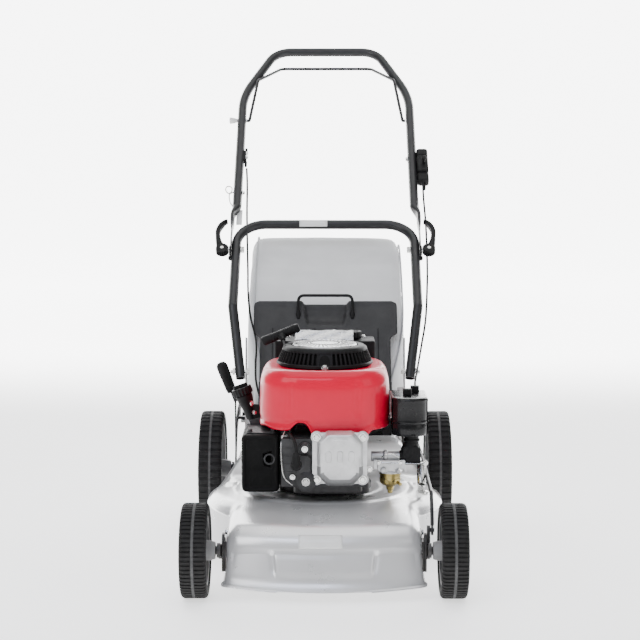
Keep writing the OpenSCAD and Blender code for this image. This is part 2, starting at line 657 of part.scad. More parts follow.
// ---------- rear flap and grass bag ----------
flap_l = 281;
flap_low = 148;
module rear_flap() color("#505052") placed() in_plane(flap_hinge, flap_slope) {
  difference() {
    union() {
      rotate([0, 90, 0]) translate([0, 0, -flap_low]) cylinder(h = 2 * flap_low, r = 8);
      translate([-flap_low, 0, 2]) cube([2 * flap_low, 192, 4]);
      translate([-164, 192, 2]) cube([328, flap_l - 192, 4]);
    }
    rotate([0, 90, 0]) translate([0, 0, -160]) cylinder(h = 320, r = bolt_r + run_gap);
    translate([-45, flap_l - 30, 1]) cube([90, 18, 10]);
  }
  for (x = [-62, 52]) translate([x, flap_l - 22, 6]) cube([10, 9, 14]);
  translate([-62, flap_l - 22, 20]) cube([124, 9, 8]);
}
// Steel mouth frame that hangs on two pegs of the brackets
module bag_frame() color("#303030") placed() {
  difference() {
    box([-150, 656, 126], [150, 664, 312]);
    box([-130, 650, 140], [130, 670, 292]);
  }
  pair() {
    box([150, 656, peg[1] + bolt_r + 0.3], [187, 664, peg[1] + 20]);
    box([181, 642, peg[1] + bolt_r + 0.3], [187, 656, peg[1] + 20]);
  }
}
bag_profile = [[664, 128], [664, 312], [770, 478], [850, 546], [1000, 620], [1060, 618], [1140, 556],
  [1166, 420], [1122, 230], [1050, 160], [900, 134]];
bag_inside = [[660, 140], [660, 292], [772, 472], [851, 541], [1001, 615], [1058, 613], [1136, 553],
  [1161, 420], [1118, 233], [1048, 164], [900, 139], [690, 133]];
module bag_fabric() color("#d0d0d0") placed() difference() {
  across(-bag_w / 2, bag_w) polygon(bag_profile);
  intersection() {
    across(-bag_w / 2 + fabric, bag_w - 2 * fabric) polygon(bag_inside);
    union() {
      box([-bag_w, 667, 100], [bag_w, 1300, 700]);
      box([-130, 600, 140], [130, 700, 292]);
    }
  }
}

deck();
discharge_chute();
handle_brackets();
flap_rod();
crankcase();
engine_cylinder();
valve_cover();
cover_bolts();
spark_plug();
plug_cap();
ignition_lead();
shroud();
recoil_cover();
muffler();
muffler_guard();
fuel_tank();
oil_filler();
carburettor();
float_bowl();
intake_elbow();
filter_base();
filter_cover();
wash_port();
height_rack();
oil_cap();
fuel_cap();
flywheel();
crankshaft();
blade_adapter();
blade();
blade_bolt();
recoil_pulley();
starter_grip();
front_axle();
rear_axle();
wheel_nuts_front();
wheel_nuts_rear();
height_link();
height_lever();
height_grip();
front_tyre_left();
front_rim_left();
front_tyre_right();
front_rim_right();
rear_tyre_left();
rear_rim_left();
rear_tyre_right();
rear_rim_right();
lower_handle();
upper_handle();
handle_bolts();
cam_lever_left();
cam_lever_right();
bail();
throttle_housing();
throttle_lever();
control_cables();
rear_flap();
bag_frame();
bag_fabric();
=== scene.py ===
"""Looks of the petrol push mower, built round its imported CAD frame. Lengths are in millimetres, in the layout
of part.scad (X across, Y back from the front axle, Z up), until a piece is made; then they are in metres."""
import json
import math

import bmesh
import bpy
import numpy as np
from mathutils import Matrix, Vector, noise


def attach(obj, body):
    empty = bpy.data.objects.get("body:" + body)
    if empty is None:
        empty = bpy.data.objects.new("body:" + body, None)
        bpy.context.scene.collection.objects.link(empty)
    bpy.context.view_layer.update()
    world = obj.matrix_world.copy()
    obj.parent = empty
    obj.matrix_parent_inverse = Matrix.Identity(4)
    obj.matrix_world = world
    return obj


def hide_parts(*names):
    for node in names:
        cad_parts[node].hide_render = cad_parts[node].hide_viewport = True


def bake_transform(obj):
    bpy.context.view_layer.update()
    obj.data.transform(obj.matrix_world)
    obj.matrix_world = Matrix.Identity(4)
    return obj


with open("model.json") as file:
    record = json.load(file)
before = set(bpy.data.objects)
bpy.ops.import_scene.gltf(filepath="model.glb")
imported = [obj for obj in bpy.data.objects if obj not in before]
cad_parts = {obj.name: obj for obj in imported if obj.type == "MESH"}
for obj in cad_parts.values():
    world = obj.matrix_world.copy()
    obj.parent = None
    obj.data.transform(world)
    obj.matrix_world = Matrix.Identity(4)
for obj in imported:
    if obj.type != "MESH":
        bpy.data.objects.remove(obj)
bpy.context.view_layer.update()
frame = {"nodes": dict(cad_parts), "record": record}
NODES = frame["nodes"]
MM = 0.001
BACK = 667.375  # from the front axle back to the frame's origin
SHAFT = 300  # Y of the crankshaft
FOLD, HINGE = (840, 598.6), (600, 248)  # Y and Z of the handle's fold and of the flap's hinge
UPPER, LOWER, FLAP = 40.6, 38.5, 57  # slopes of the handle's halves and of the flap, in degrees
SIDES = ((-1, "left"), (1, "right"))
ACROSS, AHEAD, UP = (1, 0, 0), (0, -1, 0), (0, 0, 1)
FRONT_FACE, TOP_FACE, SIDE_FACE = ((1, 0, 0), (0, 0, 1)), ((1, 0, 0), (0, 1, 0)), ((0, 1, 0), (0, 0, 1))


def metres(p):
    """A place in the layout, in Blender's metres."""
    return Vector((p[0] * MM, (p[1] - BACK) * MM, p[2] * MM))


def linked(name, data):
    """A new object, put in the scene."""
    o = bpy.data.objects.new(name, data)
    bpy.context.scene.collection.objects.link(o)
    return o


# ---------- camera ----------
cam_data = bpy.data.cameras.new("camera")
cam = linked("camera", cam_data)
bpy.context.scene.camera = cam
cam_data.lens, cam_data.sensor_width = 92.9, 36
cam.location = metres((10.5, -3032, 850))
cam.rotation_euler = (math.radians(90 - 6.145), 0, math.radians(0.347))


# ---------- small helpers ----------
def smooth_step(a, b, x):
    """From 0 at a to 1 at b, level at both ends."""
    t = min(1.0, max(0.0, (x - a) / (b - a)))
    return t * t * (3 - 2 * t)


def band(a, b, c, d, x):
    """Rises from a to b and falls from c to d."""
    return smooth_step(a, b, x) * (1 - smooth_step(c, d, x))


def lerp(a, b, t):
    """From a at t = 0 to b at t = 1."""
    return a + (b - a) * t


def plane(x, s, n, at=FOLD, slope=UPPER):
    """A point s up a slope from a hinge and n square to it."""
    c, k = math.cos(math.radians(slope)), math.sin(math.radians(slope))
    return Vector((x, at[0] + s * c - n * k, at[1] + s * k + n * c))


def lower(x, s, n=0):
    """The same, up the lower handle."""
    return plane(x, s, n, FOLD, LOWER)


def spline(points, m):
    """Catmull-Rom points, m to each stretch."""
    p = [Vector(q) for q in points]
    out = []
    for i in range(len(p) - 1):
        a, b, c, d = p[max(i - 1, 0)], p[i], p[i + 1], p[min(i + 2, len(p) - 1)]
        for k in range(m):
            t = k / m
            out.append(0.5 * (2 * b + (c - a) * t + (2 * a - 5 * b + 4 * c - d) * t ** 2
                              + (3 * b - a - 3 * c + d) * t ** 3))
    return out + [p[-1]]


STRAIGHT = 1.55  # half of an angle, in radians, from which a corner counts as straight


def filleted(points, r, n=6):
    """A line through points with its corners rounded to radius r."""
    p = [Vector(q) for q in points]
    out = [p[0]]
    for a, b, c in zip(p, p[1:], p[2:]):
        u, v = (a - b).normalized(), (c - b).normalized()
        half = u.angle(v) / 2
        if half > STRAIGHT:
            out.append(b)
            continue
        cut = min(r / math.tan(half), 0.45 * (a - b).length, 0.45 * (c - b).length)
        q0, q1 = b + u * cut, b + v * cut
        out += [(q0 * (1 - t) ** 2 + b * 2 * t * (1 - t) + q1 * t * t)
                for t in [k / n for k in range(n + 1)]]
    return out + [p[-1]]


def arc(cx, cy, r, degrees):
    """Points of an arc about (cx, cy)."""
    return [(cx + r * math.cos(a), cy + r * math.sin(a)) for a in np.radians(degrees)]


def rounded_rect(w, h, r, n=5):
    """Outline of a rounded rectangle, w by h, about its middle."""
    out = []
    for quadrant, (i, j) in enumerate(((1, 1), (-1, 1), (-1, -1), (1, -1))):
        out += arc(i * (w / 2 - r), j * (h / 2 - r), r, [90 * (quadrant + k / n) for k in range(n + 1)])
    return out


def round_shaft(r, degrees, z=0.0):
    """A point r out from the crankshaft."""
    return Vector((*arc(0, SHAFT, r, [degrees])[0], z))


def welded(mesh, gap):
    """Joins doubled points and turns the faces outward."""
    bm = bmesh.new()
    bm.from_mesh(mesh)
    bmesh.ops.remove_doubles(bm, verts=bm.verts, dist=gap)
    bmesh.ops.recalc_face_normals(bm, faces=bm.faces)
    bm.to_mesh(mesh)
    bm.free()
    mesh.polygons.foreach_set("use_smooth", [True] * len(mesh.polygons))


def square_to(axis):
    """The axis as a unit vector and two more square to it and to each other."""
    a = Vector(axis).normalized()
    u = a.cross(Vector((0.03, 0.11, 1)) if abs(a.z) < 0.9 else Vector((0, 1, 0.02))).normalized()
    return a, u, a.cross(u)


ALONG_HANDLE = plane(0, 1, 0) - plane(0, 0, 0)


class Kit:
    """Gathers the faces of one piece."""

    def __init__(self):
        self.verts, self.faces, self.mats = [], [], []

    def add(self, verts, faces, mat=0):
        """Faces given by their corners' places in verts."""
        base = len(self.verts)
        self.verts += [Vector(v) for v in verts]
        self.faces += [tuple(base + i for i in f) for f in faces]
        self.mats += [mat] * len(faces)
        return self

    def grid(self, rows, mat=0, wrap=False, caps=False, skip=None):
        """A skin over rows of points, closed round if wrap and at both ends if caps."""
        n = len(rows[0])
        faces = []
        for i in range(len(rows) - 1):
            for j in range(n if wrap else n - 1):
                f = (i * n + j, i * n + (j + 1) % n, (i + 1) * n + (j + 1) % n, (i + 1) * n + j)
                if skip is None or not skip(rows[i][j], rows[i + 1][(j + 1) % n]):
                    faces.append(f)
        if caps:
            faces += [tuple(reversed(range(n))), tuple((len(rows) - 1) * n + j for j in range(n))]
        return self.add([p for row in rows for p in row], faces, mat)

    def turned(self, profile, at, axis, n=40, mat=0, caps=True):
        """A profile of (radius, distance along the axis) turned about the axis."""
        a, u, v = square_to(axis)
        at = Vector(at)
        ring = [(math.cos(2 * math.pi * k / n), math.sin(2 * math.pi * k / n)) for k in range(n)]
        return self.grid([[at + a * h + (u * c + v * s) * r for c, s in ring] for r, h in profile],
                         mat, True, caps)

    def tube(self, points, r, n=12, mat=0, closed=False):
        """A tube along points; r is one radius or a list of them."""
        p = [Vector(q) for q in points]
        m = len(p)
        radii = r if isinstance(r, (list, tuple)) else [r] * m
        rows, u = [], None
        for i in range(m):
            a = p[i - 1] if i or closed else p[0]
            b = p[(i + 1) % m] if i < m - 1 or closed else p[-1]
            t = (b - a).normalized()
            u = square_to(t)[1] if u is None else (u - t * u.dot(t)).normalized()
            v = t.cross(u)
            rows.append([p[i] + (u * math.cos(2 * math.pi * k / n)
                                 + v * math.sin(2 * math.pi * k / n)) * radii[i] for k in range(n)])
        if closed:
            rows.append(rows[0])
        return self.grid(rows, mat, True, not closed)

    def slab(self, outline, at, u, v, depth, mat=0):
        """A flat outline in the u, v plane, depth thick along u x v."""
        u, v, at = Vector(u).normalized(), Vector(v).normalized(), Vector(at)
        w = u.cross(v)
        rows = [[at + u * a + v * b + w * d for a, b in outline] for d in (0, depth)]
        return self.grid(rows, mat, True, True)

    def box(self, lo, hi, mat=0):
        return self.slab([(lo[0], lo[1]), (hi[0], lo[1]), (hi[0], hi[1]), (lo[0], hi[1])], (0, 0, lo[2]),
                         *TOP_FACE, hi[2] - lo[2], mat)

    def bar(self, a, b, w, h, mat=0):
        """A bar of section w by h from a to b."""
        a, b = Vector(a), Vector(b)
        t, u, v = square_to(b - a)
        return self.slab([(-w / 2, -h / 2), (w / 2, -h / 2), (w / 2, h / 2), (-w / 2, h / 2)], a, u, v,
                         (b - a).length, mat)

    def bolt(self, at, axis, r=5.5, h=4.5, mat=0, washer=True):
        """A hexagon head on a washer."""
        a = Vector(axis).normalized()
        at = Vector(at)
        if washer:
            self.turned([(r * 1.45, 0), (r * 1.45, 1.2)], at, a, 20, mat)
        self.turned([(r * 1.08, 1.2), (r * 1.08, h), (r * 0.9, h + 0.8)], at, a, 6, mat)
        return self.turned([(r * 0.62, h + 0.5), (r * 0.55, h + 1.1)], at, a, 16, mat)

    def pad(self, w, h, r, at, face, depth, mat=0):
        """A rounded rectangle lying in one of the named faces."""
        return self.slab(rounded_rect(w, h, r), at, *face, depth, mat)

    def done(self, name, mats, stands_for=(), body="chassis", slot=None, bevel=0.0, segments=2, levels=0,
             thick=0.0, sharp=35, between=None):
        """Makes the object; the slot argument is not used."""
        mats = mats if isinstance(mats, list) else [mats]
        mesh = bpy.data.meshes.new(name)
        mesh.from_pydata([metres(v) for v in self.verts], [], self.faces)
        for m in mats:
            mesh.materials.append(m)
        mesh.polygons.foreach_set("material_index", self.mats)
        welded(mesh, 2e-6)
        mesh.set_sharp_from_angle(angle=math.radians(sharp))
        o = linked(name, mesh)
        if thick:
            m = o.modifiers.new("thickness", "SOLIDIFY")
            m.thickness, m.offset = thick * MM, -1
        if bevel:
            add_bevel(o, bevel, segments, sharp)
        if levels:
            m = o.modifiers.new("smooth", "SUBSURF")
            m.levels = m.render_levels = levels
        if between:
            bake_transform(o)
        else:
            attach(o, body)
        if stands_for:
            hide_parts(*stands_for)
        return o


def add_bevel(o, width, segments=2, sharp=35):
    """Breaks the edges that are sharper than an angle in degrees."""
    m = o.modifiers.new("edges", "BEVEL")
    m.width, m.segments, m.limit_method = width * MM, segments, "ANGLE"
    m.angle_limit, m.use_clamp_overlap = math.radians(sharp), True


# ---------- materials ----------
SLOTS = {}  # the slot of each material, by the name Blender gave it


class Nodes:
    """A material's nodes and the links between them."""

    def __init__(self, tree):
        self.tree = tree

    def add(self, kind, source=None, into=0, out=0, **values):
        """A node fed by the socket source; returns the output that out names or numbers."""
        n = self.tree.nodes.new("ShaderNode" + kind)
        for k, v in values.items():
            if hasattr(n, k):
                setattr(n, k, v)
            else:
                n.inputs[k.replace("_", " ")].default_value = v
        if source is not None:
            self.tree.links.new(source, n.inputs[into])
        return n.outputs[out]

    def remap(self, value, low, high, to_low, to_high, kind="LINEAR"):
        """A value stretched from one range to another."""
        return self.add("MapRange", value, interpolation_type=kind, From_Min=low, From_Max=high,
                        To_Min=to_low, To_Max=to_high)

    def joined(self, kind, a, b, **values):
        """A node fed by two sockets."""
        out = self.add(kind, a, **values)
        self.tree.links.new(b, out.node.inputs[1])
        return out


def material(name, color, rough, metal=0.0, vary=0.14, blotch=18.0, grain=700.0, bump=0.03, rough_vary=0.12,
             coat=0.0, coat_rough=0.08, sheen=0.0, specular=0.5, pattern=None, dust=None):
    """Colour and roughness wander over the surface; a fine grain and a pattern add relief."""
    m = bpy.data.materials.new(name)
    SLOTS[m.name] = name
    m.use_nodes = True
    bsdf, nodes = m.node_tree.nodes["Principled BSDF"].inputs, Nodes(m.node_tree)
    for key, value in (("Metallic", metal), ("Specular IOR Level", specular), ("Coat Weight", coat),
                       ("Coat Roughness", coat_rough), ("Sheen Weight", sheen)):
        bsdf[key].default_value = value
    link = m.node_tree.links.new
    where = nodes.add("TexCoord", out="Object")
    cloud = nodes.add("TexNoise", where, "Vector", "Fac", Scale=blotch, Detail=6.0, Roughness=0.6)
    shade = nodes.add("ValToRGB", cloud, "Fac", "Color")
    for stop, place, change in zip(shade.node.color_ramp.elements, (0.3, 0.72), (1 - vary, 1 + vary)):
        stop.position, stop.color = place, [min(1, c * change) for c in color] + [1]
    if dust:
        low, high, tone, share = dust
        height = nodes.add("SeparateXYZ", where, out="Z")
        fall = nodes.remap(height, high * MM, low * MM, 0.0, share, "SMOOTHSTEP")
        spots = nodes.add("TexNoise", where, "Vector", "Fac", Scale=90.0, Detail=8.0, Roughness=0.7)
        both = nodes.joined("Math", fall, spots, operation="MULTIPLY")
        mix = nodes.add("Mix", both, 0, 2, data_type="RGBA")
        link(shade, mix.node.inputs[6])
        mix.node.inputs[7].default_value = list(tone) + [1]
        shade = mix
    link(shade, bsdf["Base Color"])
    mottle = nodes.add("TexNoise", where, "Vector", "Fac", Scale=blotch * 2.3, Detail=8.0, Roughness=0.65)
    gloss = nodes.remap(mottle, 0.3, 0.7, max(0.02, rough - rough_vary), min(1, rough + rough_vary))
    fine = nodes.add("TexNoise", where, "Vector", "Fac", Scale=grain, Detail=3.0)
    relief = nodes.add("Bump", fine, "Height", "Normal", Strength=min(1, bump * 8), Distance=bump * MM * 4)
    if pattern:
        kind, scale, depth = pattern
        if kind == "weave":
            warp = nodes.add("TexWave", where, "Vector", "Fac", wave_type="BANDS", bands_direction="X",
                             Scale=scale, Distortion=0.3)
            turned = nodes.add("Mapping", where, "Vector", "Vector")
            turned.node.inputs["Scale"].default_value = (0.0, 1.0, 1.0)
            weft = nodes.add("TexWave", turned, "Vector", "Fac", wave_type="BANDS",
                             bands_direction="DIAGONAL", Scale=scale * 1.2)
            height = nodes.joined("Math", warp, weft, operation="ADD")
        elif kind == "spangle":
            height = nodes.add("TexVoronoi", where, "Vector", "Distance", Scale=scale)
            gloss = nodes.remap(height.node.outputs["Color"], 0.0, 1.0, rough - 0.12, rough + 0.16)
        else:
            stretch = nodes.add("Mapping", where, "Vector", "Vector")
            stretch.node.inputs["Scale"].default_value = (0.03, 1, 1)
            height = nodes.add("TexNoise", stretch, "Vector", "Fac", Scale=scale, Detail=4.0)
        more = nodes.add("Bump", height, "Height", "Normal", Strength=0.6, Distance=depth * MM)
        link(relief, more.node.inputs["Normal"])
        relief = more
    link(gloss, bsdf["Roughness"])
    link(relief, bsdf["Normal"])
    return m


DUST = (0.35, 0.33, 0.29)
deck_paint = material("deck_paint", (0.66, 0.66, 0.662), 0.3, 0.45, 0.04, 6, 1400, 0.006, 0.05, coat=0.4,
                      coat_rough=0.18)
red_paint = material("red_cowl", (0.60, 0.0, 0.03), 0.36, 0.0, 0.04, 7, 900, 0.003, 0.04, coat=0.3,
                     coat_rough=0.05, specular=0.08)
black_plastic = material("black_plastic", (0.007, 0.007, 0.0073), 0.5, vary=0.3, grain=1500, bump=0.05,
                         specular=0.16)
gloss_black = material("gloss_black", (0.007, 0.007, 0.0075), 0.24, vary=0.2, grain=300, bump=0.004,
                       rough_vary=0.06, coat=0.08, specular=0.2)
handle_paint = material("handle_paint", (0.02, 0.02, 0.021), 0.36, 0.1, 0.2, 30, 1300, 0.03, 0.08, coat=0.1,
                        coat_rough=0.2, specular=0.25)
dark_steel = material("dark_steel", (0.035, 0.035, 0.037), 0.45, 0.5, 0.25, 40, 900, 0.03,
                      dust=(10, 160, DUST, 0.3))
heat_paint = material("black_heat_paint", (0.005, 0.005, 0.005), 0.6, 0.0, 0.3, 25, 1600, 0.06, 0.1,
                      specular=0.1)
material("zinc_plate", (0.62, 0.62, 0.6), 0.38, 0.85, 0.12, 30, 900, 0.02, 0.1,
                      pattern=("spangle", 180, 0.02))
bright_zinc = material("bright_zinc", (0.72, 0.72, 0.7), 0.25, 1.0, 0.1, 60, 1200, 0.01, 0.08)
bright_steel = material("bright_steel", (0.66, 0.66, 0.65), 0.28, 1.0, 0.08, 40, 900, 0.01, 0.08,
                        pattern=("brushed_x", 900, 0.02))
cast_aluminium = material("cast_aluminium", (0.60, 0.60, 0.60), 0.42, 0.75, 0.14, 50, 420, 0.09, 0.1)
# a darker cast grey, used as painted shade on the head cover's lower front faces
rough_cast = material("rough_cast", (0.27, 0.27, 0.27), 0.5, 0.6, 0.16, 50, 420, 0.12, 0.1)
dark_cast = material("dark_cast", (0.03, 0.03, 0.031), 0.5, 0.3, 0.3, 45, 380, 0.1, 0.12)
brass = material("bowl_brass", (0.42, 0.33, 0.12), 0.3, 0.85, 0.2, 60, 800, 0.02, 0.1)
rubber = material("rubber_black", (0.009, 0.009, 0.009), 0.62, vary=0.3, grain=1400, bump=0.05,
                  specular=0.15)
tyre_rubber = material("tyre_black", (0.014, 0.014, 0.0145), 0.66, 0, 0.35, 60, 900, 0.09, 0.1,
                       specular=0.12, dust=(0, 260, DUST, 0.05))
tyre_worn = material("tyre_worn", (0.07, 0.07, 0.07), 0.75, 0, 0.35, 120, 900, 0.1, 0.1, specular=0.2)
rim_grey = material("rim_grey", (0.2, 0.2, 0.203), 0.48, specular=0.3, vary=0.12, grain=1200, bump=0.03,
                    dust=(0, 150, DUST, 0.2))
flap_plastic = material("flap_plastic", (0.03, 0.03, 0.031), 0.52, specular=0.25, vary=0.16, grain=1700,
                        bump=0.06)
bag_cloth = material("bag_cloth", (0.72, 0.725, 0.73), 0.86, 0, 0.05, 14, 2200, 0.05, 0.05, sheen=0.35,
                     specular=0.2, pattern=("weave", 330, 0.25))
bag_piping = material("bag_piping", (0.46, 0.47, 0.48), 0.8, vary=0.12, grain=1800, bump=0.1, sheen=0.3)
label_white = material("label_white", (0.72, 0.72, 0.71), 0.4, vary=0.06, grain=700, bump=0.02, coat=0.3)
foil_plate = material("foil_plate", (0.66, 0.66, 0.66), 0.3, 0.9, 0.16, 90, 240, 0.2, 0.14)
material("ceramic_white", (0.78, 0.78, 0.74), 0.22, vary=0.06, grain=600, bump=0.01, coat=0.5)
rope = material("rope", (0.05, 0.05, 0.05), 0.8, vary=0.3, grain=2600, bump=0.3)
MATS = {SLOTS[m.name]: m for m in bpy.data.materials if m.name in SLOTS}
for part in frame["record"]["subparts"]:
    data = NODES[part["node"]].data
    data.materials.clear()
    data.materials.append(MATS[part["material_slot"]])

# CAD nodes that stay get their edges broken
for name, width in (("handle_brackets", 0.8), ("carburettor", 1.2), ("throttle_housing", 1.5),
                    ("cam_lever_left", 1.6), ("cam_lever_right", 1.6), ("filter_base", 1.5),
                    ("fuel_tank", 9), ("front_axle", 0.8), ("rear_axle", 0.8), ("height_lever", 0.6),
                    ("handle_bolts", 0.5), ("blade", 0.6), ("throttle_lever", 1), ("wheel_nuts_front", 0.8),
                    ("wheel_nuts_rear", 0.8), ("height_rack", 0.4), ("discharge_chute", 0.8),
                    ("float_bowl", 1.2), ("intake_elbow", 4), ("engine_cylinder", 1.0)):
    weld = NODES[name].modifiers.new("weld", "WELD")
    weld.merge_threshold = 1e-5
    add_bevel(NODES[name], width, 3, 40)


# ---------- deck ----------
LIP_FRONT, LIP_SIDE = 23, 35  # heights of the bottom edge
CREST = 44  # radius of the rounded front
HALF_FRONT, CHAMBER = 184, 240  # half width of the front, and radius of the round blade chamber
ROUND = 205  # the last round ring of the deck's top


def bow(x):
    """Y of the top of the front face: it is bowed forward in the middle."""
    return -30 + 28 * (x / HALF_FRONT) ** 2


def quarter(d, r):
    """Drop of a rounded edge of radius r, d inside the edge."""
    d = max(0.0, min(r, d))
    return r - math.sqrt(r * r - (r - d) ** 2)


def soft_max(a, b, k=9.0):
    """The larger of two heights, blended over k where they meet."""
    h = max(k - abs(a - b), 0) / k
    return max(a, b) + h * h * k / 4


def deck_height(x, y):
    """Height of the deck's top: a ribbed dome under the engine, the front apron and the rear tunnel."""
    r = math.hypot(x, y - SHAFT)
    dome = (148 - 5 * band(112, 120, 136, 146, r) + 2.2 * smooth_step(146, 154, r)
            - 4.5 * smooth_step(172, 182, r) - 2.5 * smooth_step(184, 206, r)
            - quarter(CHAMBER - r, 38) - 2 * max(0, r - CHAMBER))
    ahead = y - bow(x)
    apron = (134 + 13 * smooth_step(6, 130, ahead) - quarter(ahead, CREST)
             - 0.9 * quarter(HALF_FRONT - abs(x), 26) - 4 * smooth_step(110, HALF_FRONT, abs(x)))
    high = 148 + 54 * smooth_step(385, 515, y) + 2 * smooth_step(515, 590, y)
    back = min(high, 206 - 1.3 * max(0, abs(x) - 158)) - quarter(590 - y, 10)
    return soft_max(soft_max(dome, apron), back if y > 330 else 0)


def deck_outline():
    """The top of the wall, from the middle of the front round to the middle of the back."""
    half = [(x, bow(x)) for x in np.arange(0, 171, 2.5)]
    half += arc(171, bow(171) + 14, 13, range(-80, 1, 16))
    half += [(HALF_FRONT, y) for y in np.arange(24, 141, 9)]
    turns = np.linspace(math.asin(HALF_FRONT / CHAMBER) + 0.02, math.pi / 2, 22)
    half += [(CHAMBER * math.sin(a), SHAFT - CHAMBER * math.cos(a)) for a in turns]
    half += [tuple(p) for p in spline([(CHAMBER, 312), (CHAMBER, 350), (234, 400), (218, 450), (200, 486),
                                       (190, 510), (188, 530), (188, 556), (188, 576)], 4)]
    half += arc(177, 579, 11, range(20, 91, 18))
    half += [(x, 590) for x in (165, 150, 136, 128, 110, 80, 50, 20, 0)]
    return half


def make_deck():
    """The stamped deck: its top in rings, then its wall down to the folded lip."""
    half = deck_outline()
    ring = half + [(-x, y) for x, y in half[-2:0:-1]]
    rows = []
    # round rings over the engine, then rings that open out to the deck's own outline
    steps = [(r, 0) for r in np.linspace(46, ROUND, 44)] + [(ROUND, 1 - (1 - k / 26) ** 1.7)
                                                            for k in range(1, 27)]
    for r, opened in steps:
        rows.append([])
        for x, y in ring:
            d = math.hypot(x, y - SHAFT)
            f = lerp(r, d, opened) / d
            p = Vector((x * f, SHAFT + (y - SHAFT) * f, 0))
            p.z = deck_height(p.x, p.y)
            rows[-1].append(p)
    edge = rows[-1]
    normals = []
    for i in range(len(ring)):
        t = (Vector(ring[(i + 1) % len(ring)]) - Vector(ring[i - 1])).normalized()
        normals.append(Vector((t.y, -t.x)))
    wall = [0.06, 0.13, 0.2, 0.28, 0.36, 0.44, 0.52, 0.6, 0.68, 0.76, 0.83, 0.88, 0.92, 0.96, 1.0]
    for share in wall + ["hem", "under"]:
        row = []
        for i, (x, y) in enumerate(ring):
            top = edge[i].z
            front = smooth_step(0.5, 0.95, -normals[i].y) if y < 60 else 0.0
            near = 1 - smooth_step(60, 150, y)
            lip = lerp(LIP_SIDE, LIP_FRONT + 6 * (x / HALF_FRONT) ** 2, near)
            if share == "hem":
                z, out = lip - 0.6, 28 * front + 6.2 * (1 - front)
            elif share == "under":
                z, out = lip + 2.2, 26.5 * front + 4.6 * (1 - front)
            elif y > 585 and abs(x) < 190:
                # rings that meet the tunnel's mouth in the back wall
                z = {0.06: 194, 0.13: 192, 0.2: 161, 0.28: 130}.get(share,
                                                                    lerp(130, lip, (share - 0.28) / 0.72))
                z, out = min(z, top - 0.5), 0.0
            else:
                z = lerp(top, lip, share)
                out = front * (lerp(0, 15, (top - z) / (top - 45)) if z > 45
                               else lerp(15, 27, ((45 - z) / 20) ** 1.5))
                out += (1 - front) * (1.5 * share + 4.5 * smooth_step(0.88, 1.0, share))
                if front > 0.5:
                    mid = 92 + (z - 57) * 0.2
                    groove = math.exp(-((abs(x) - mid) / 4.2) ** 2) * band(48, 62, 84, 92, z)
                    panel = 1 - smooth_step(mid - 6, mid, abs(x))
                    out += -3.4 * groove + 1.6 * panel * band(46, 58, 78, 90, z)
            row.append(Vector((x + normals[i].x * out, y + normals[i].y * out, z)))
        rows.append(row)
    kit = Kit()
    kit.grid(rows, 0, True, skip=lambda p, q: min(p.y, q.y) > 588 and max(abs(p.x), abs(q.x)) < 129
             and max(p.z, q.z) < 192.5 and min(p.z, q.z) > 129)
    kit.done("deck_pressing", deck_paint, ["deck"], thick=1.8, sharp=50)


make_deck()
kit = Kit()
kit.grid([[(x, bow(x) + y, z) for x in np.linspace(-48, 34, 14)]
          for y, z in arc(CREST, 90, CREST + 0.5, np.linspace(168, 134, 10))])
kit.done("front_label", label_white, slot="zinc_plate", thick=0.5, sharp=60)
kit = Kit()
plate = [(30, 40), (66, 40), (66, 98), (56, 110), (40, 110), (30, 98)]
for x in (-194.4, 189.8):
    kit.slab(plate, (x, 0, 0), *SIDE_FACE, 4.6)
    kit.slab([(y, z) for y, z in plate if z < 99], (HALF_FRONT if x > 0 else -190, 0, 0), *SIDE_FACE, 6)
kit.done("axle_plates", dark_steel, bevel=0.8)
kit = Kit()
for x in (-190, 190):
    kit.bolt((x * 0.965, 52, 112), (x, 0, 0), 5)
    kit.bolt((x * 0.965, 96, 92), (x, 0, 0), 5)
    kit.bolt((x * 0.87, 560, 202), UP, 5)
kit.bolt((205, 262, 142), (0.3, -0.2, 1), 4)
kit.done("deck_bolts", bright_zinc)

# ---------- wheels ----------
# end, half the track, Y of the axle, tyre's radius, wall and lugs, rim's radius, inner and outer X of the hub
WHEELS = (("front", 241.5, 0, 89, 22, 66, 67, 204, 254), ("rear", 250, 600, 127, 27, 52, 100, 210, 262))


def tyre(name, body, node, x, y, r, wall, lugs, width=50):
    """A tyre with a grooved tread; wall is the depth from the tread to the rim."""
    half = width / 2
    across = [(-half, r - 13, 0), (-half, r - 8, 0.2), (-half + 0.6, r - 5, 1), (-half + 2.2, r - 2.2, 1),
              (-half + 5, r - 0.6, 1), (-half + 8, r, 1), (-14, r, 1), (-4.6, r, 1), (-3.6, r, 0.5),
              (-2.4, r, 0)]
    across += [(-a, b, c) for a, b, c in reversed(across)]
    inner = [(-half + 2.5, r - wall, 0), (-half, r - wall + 4, 0), (-half, r - wall + 7, 0),
             (-half, r - wall + 9, 0)]
    profile = inner + across + [(-a, b, c) for a, b, c in reversed(inner)]
    rows, kit = [], Kit()
    for k in range(lugs * 4):
        part = k % 4
        turn = 2 * math.pi * (k // 4 + (0.0, 0.07, 0.62, 0.69)[part]) / lugs
        cut = 2.6 if part in (0, 3) else 0.0
        rows.append([Vector((x + a, y + math.cos(turn) * (b - cut * c), r + math.sin(turn) * (b - cut * c)))
                     for a, b, c in profile])
    rows.append(rows[0])
    faces = len(profile)
    kit.grid(rows, 0, True)
    groove = [b > r - 0.3 and max(abs(a), abs(profile[(j + 1) % faces][0])) < 3.2
              for j, (a, b, _) in enumerate(profile)]
    kit.mats = [int(groove[j % faces]) for j in range(len(kit.faces))]
    kit.done(name, [tyre_rubber, tyre_worn], [node], body=body, sharp=28)


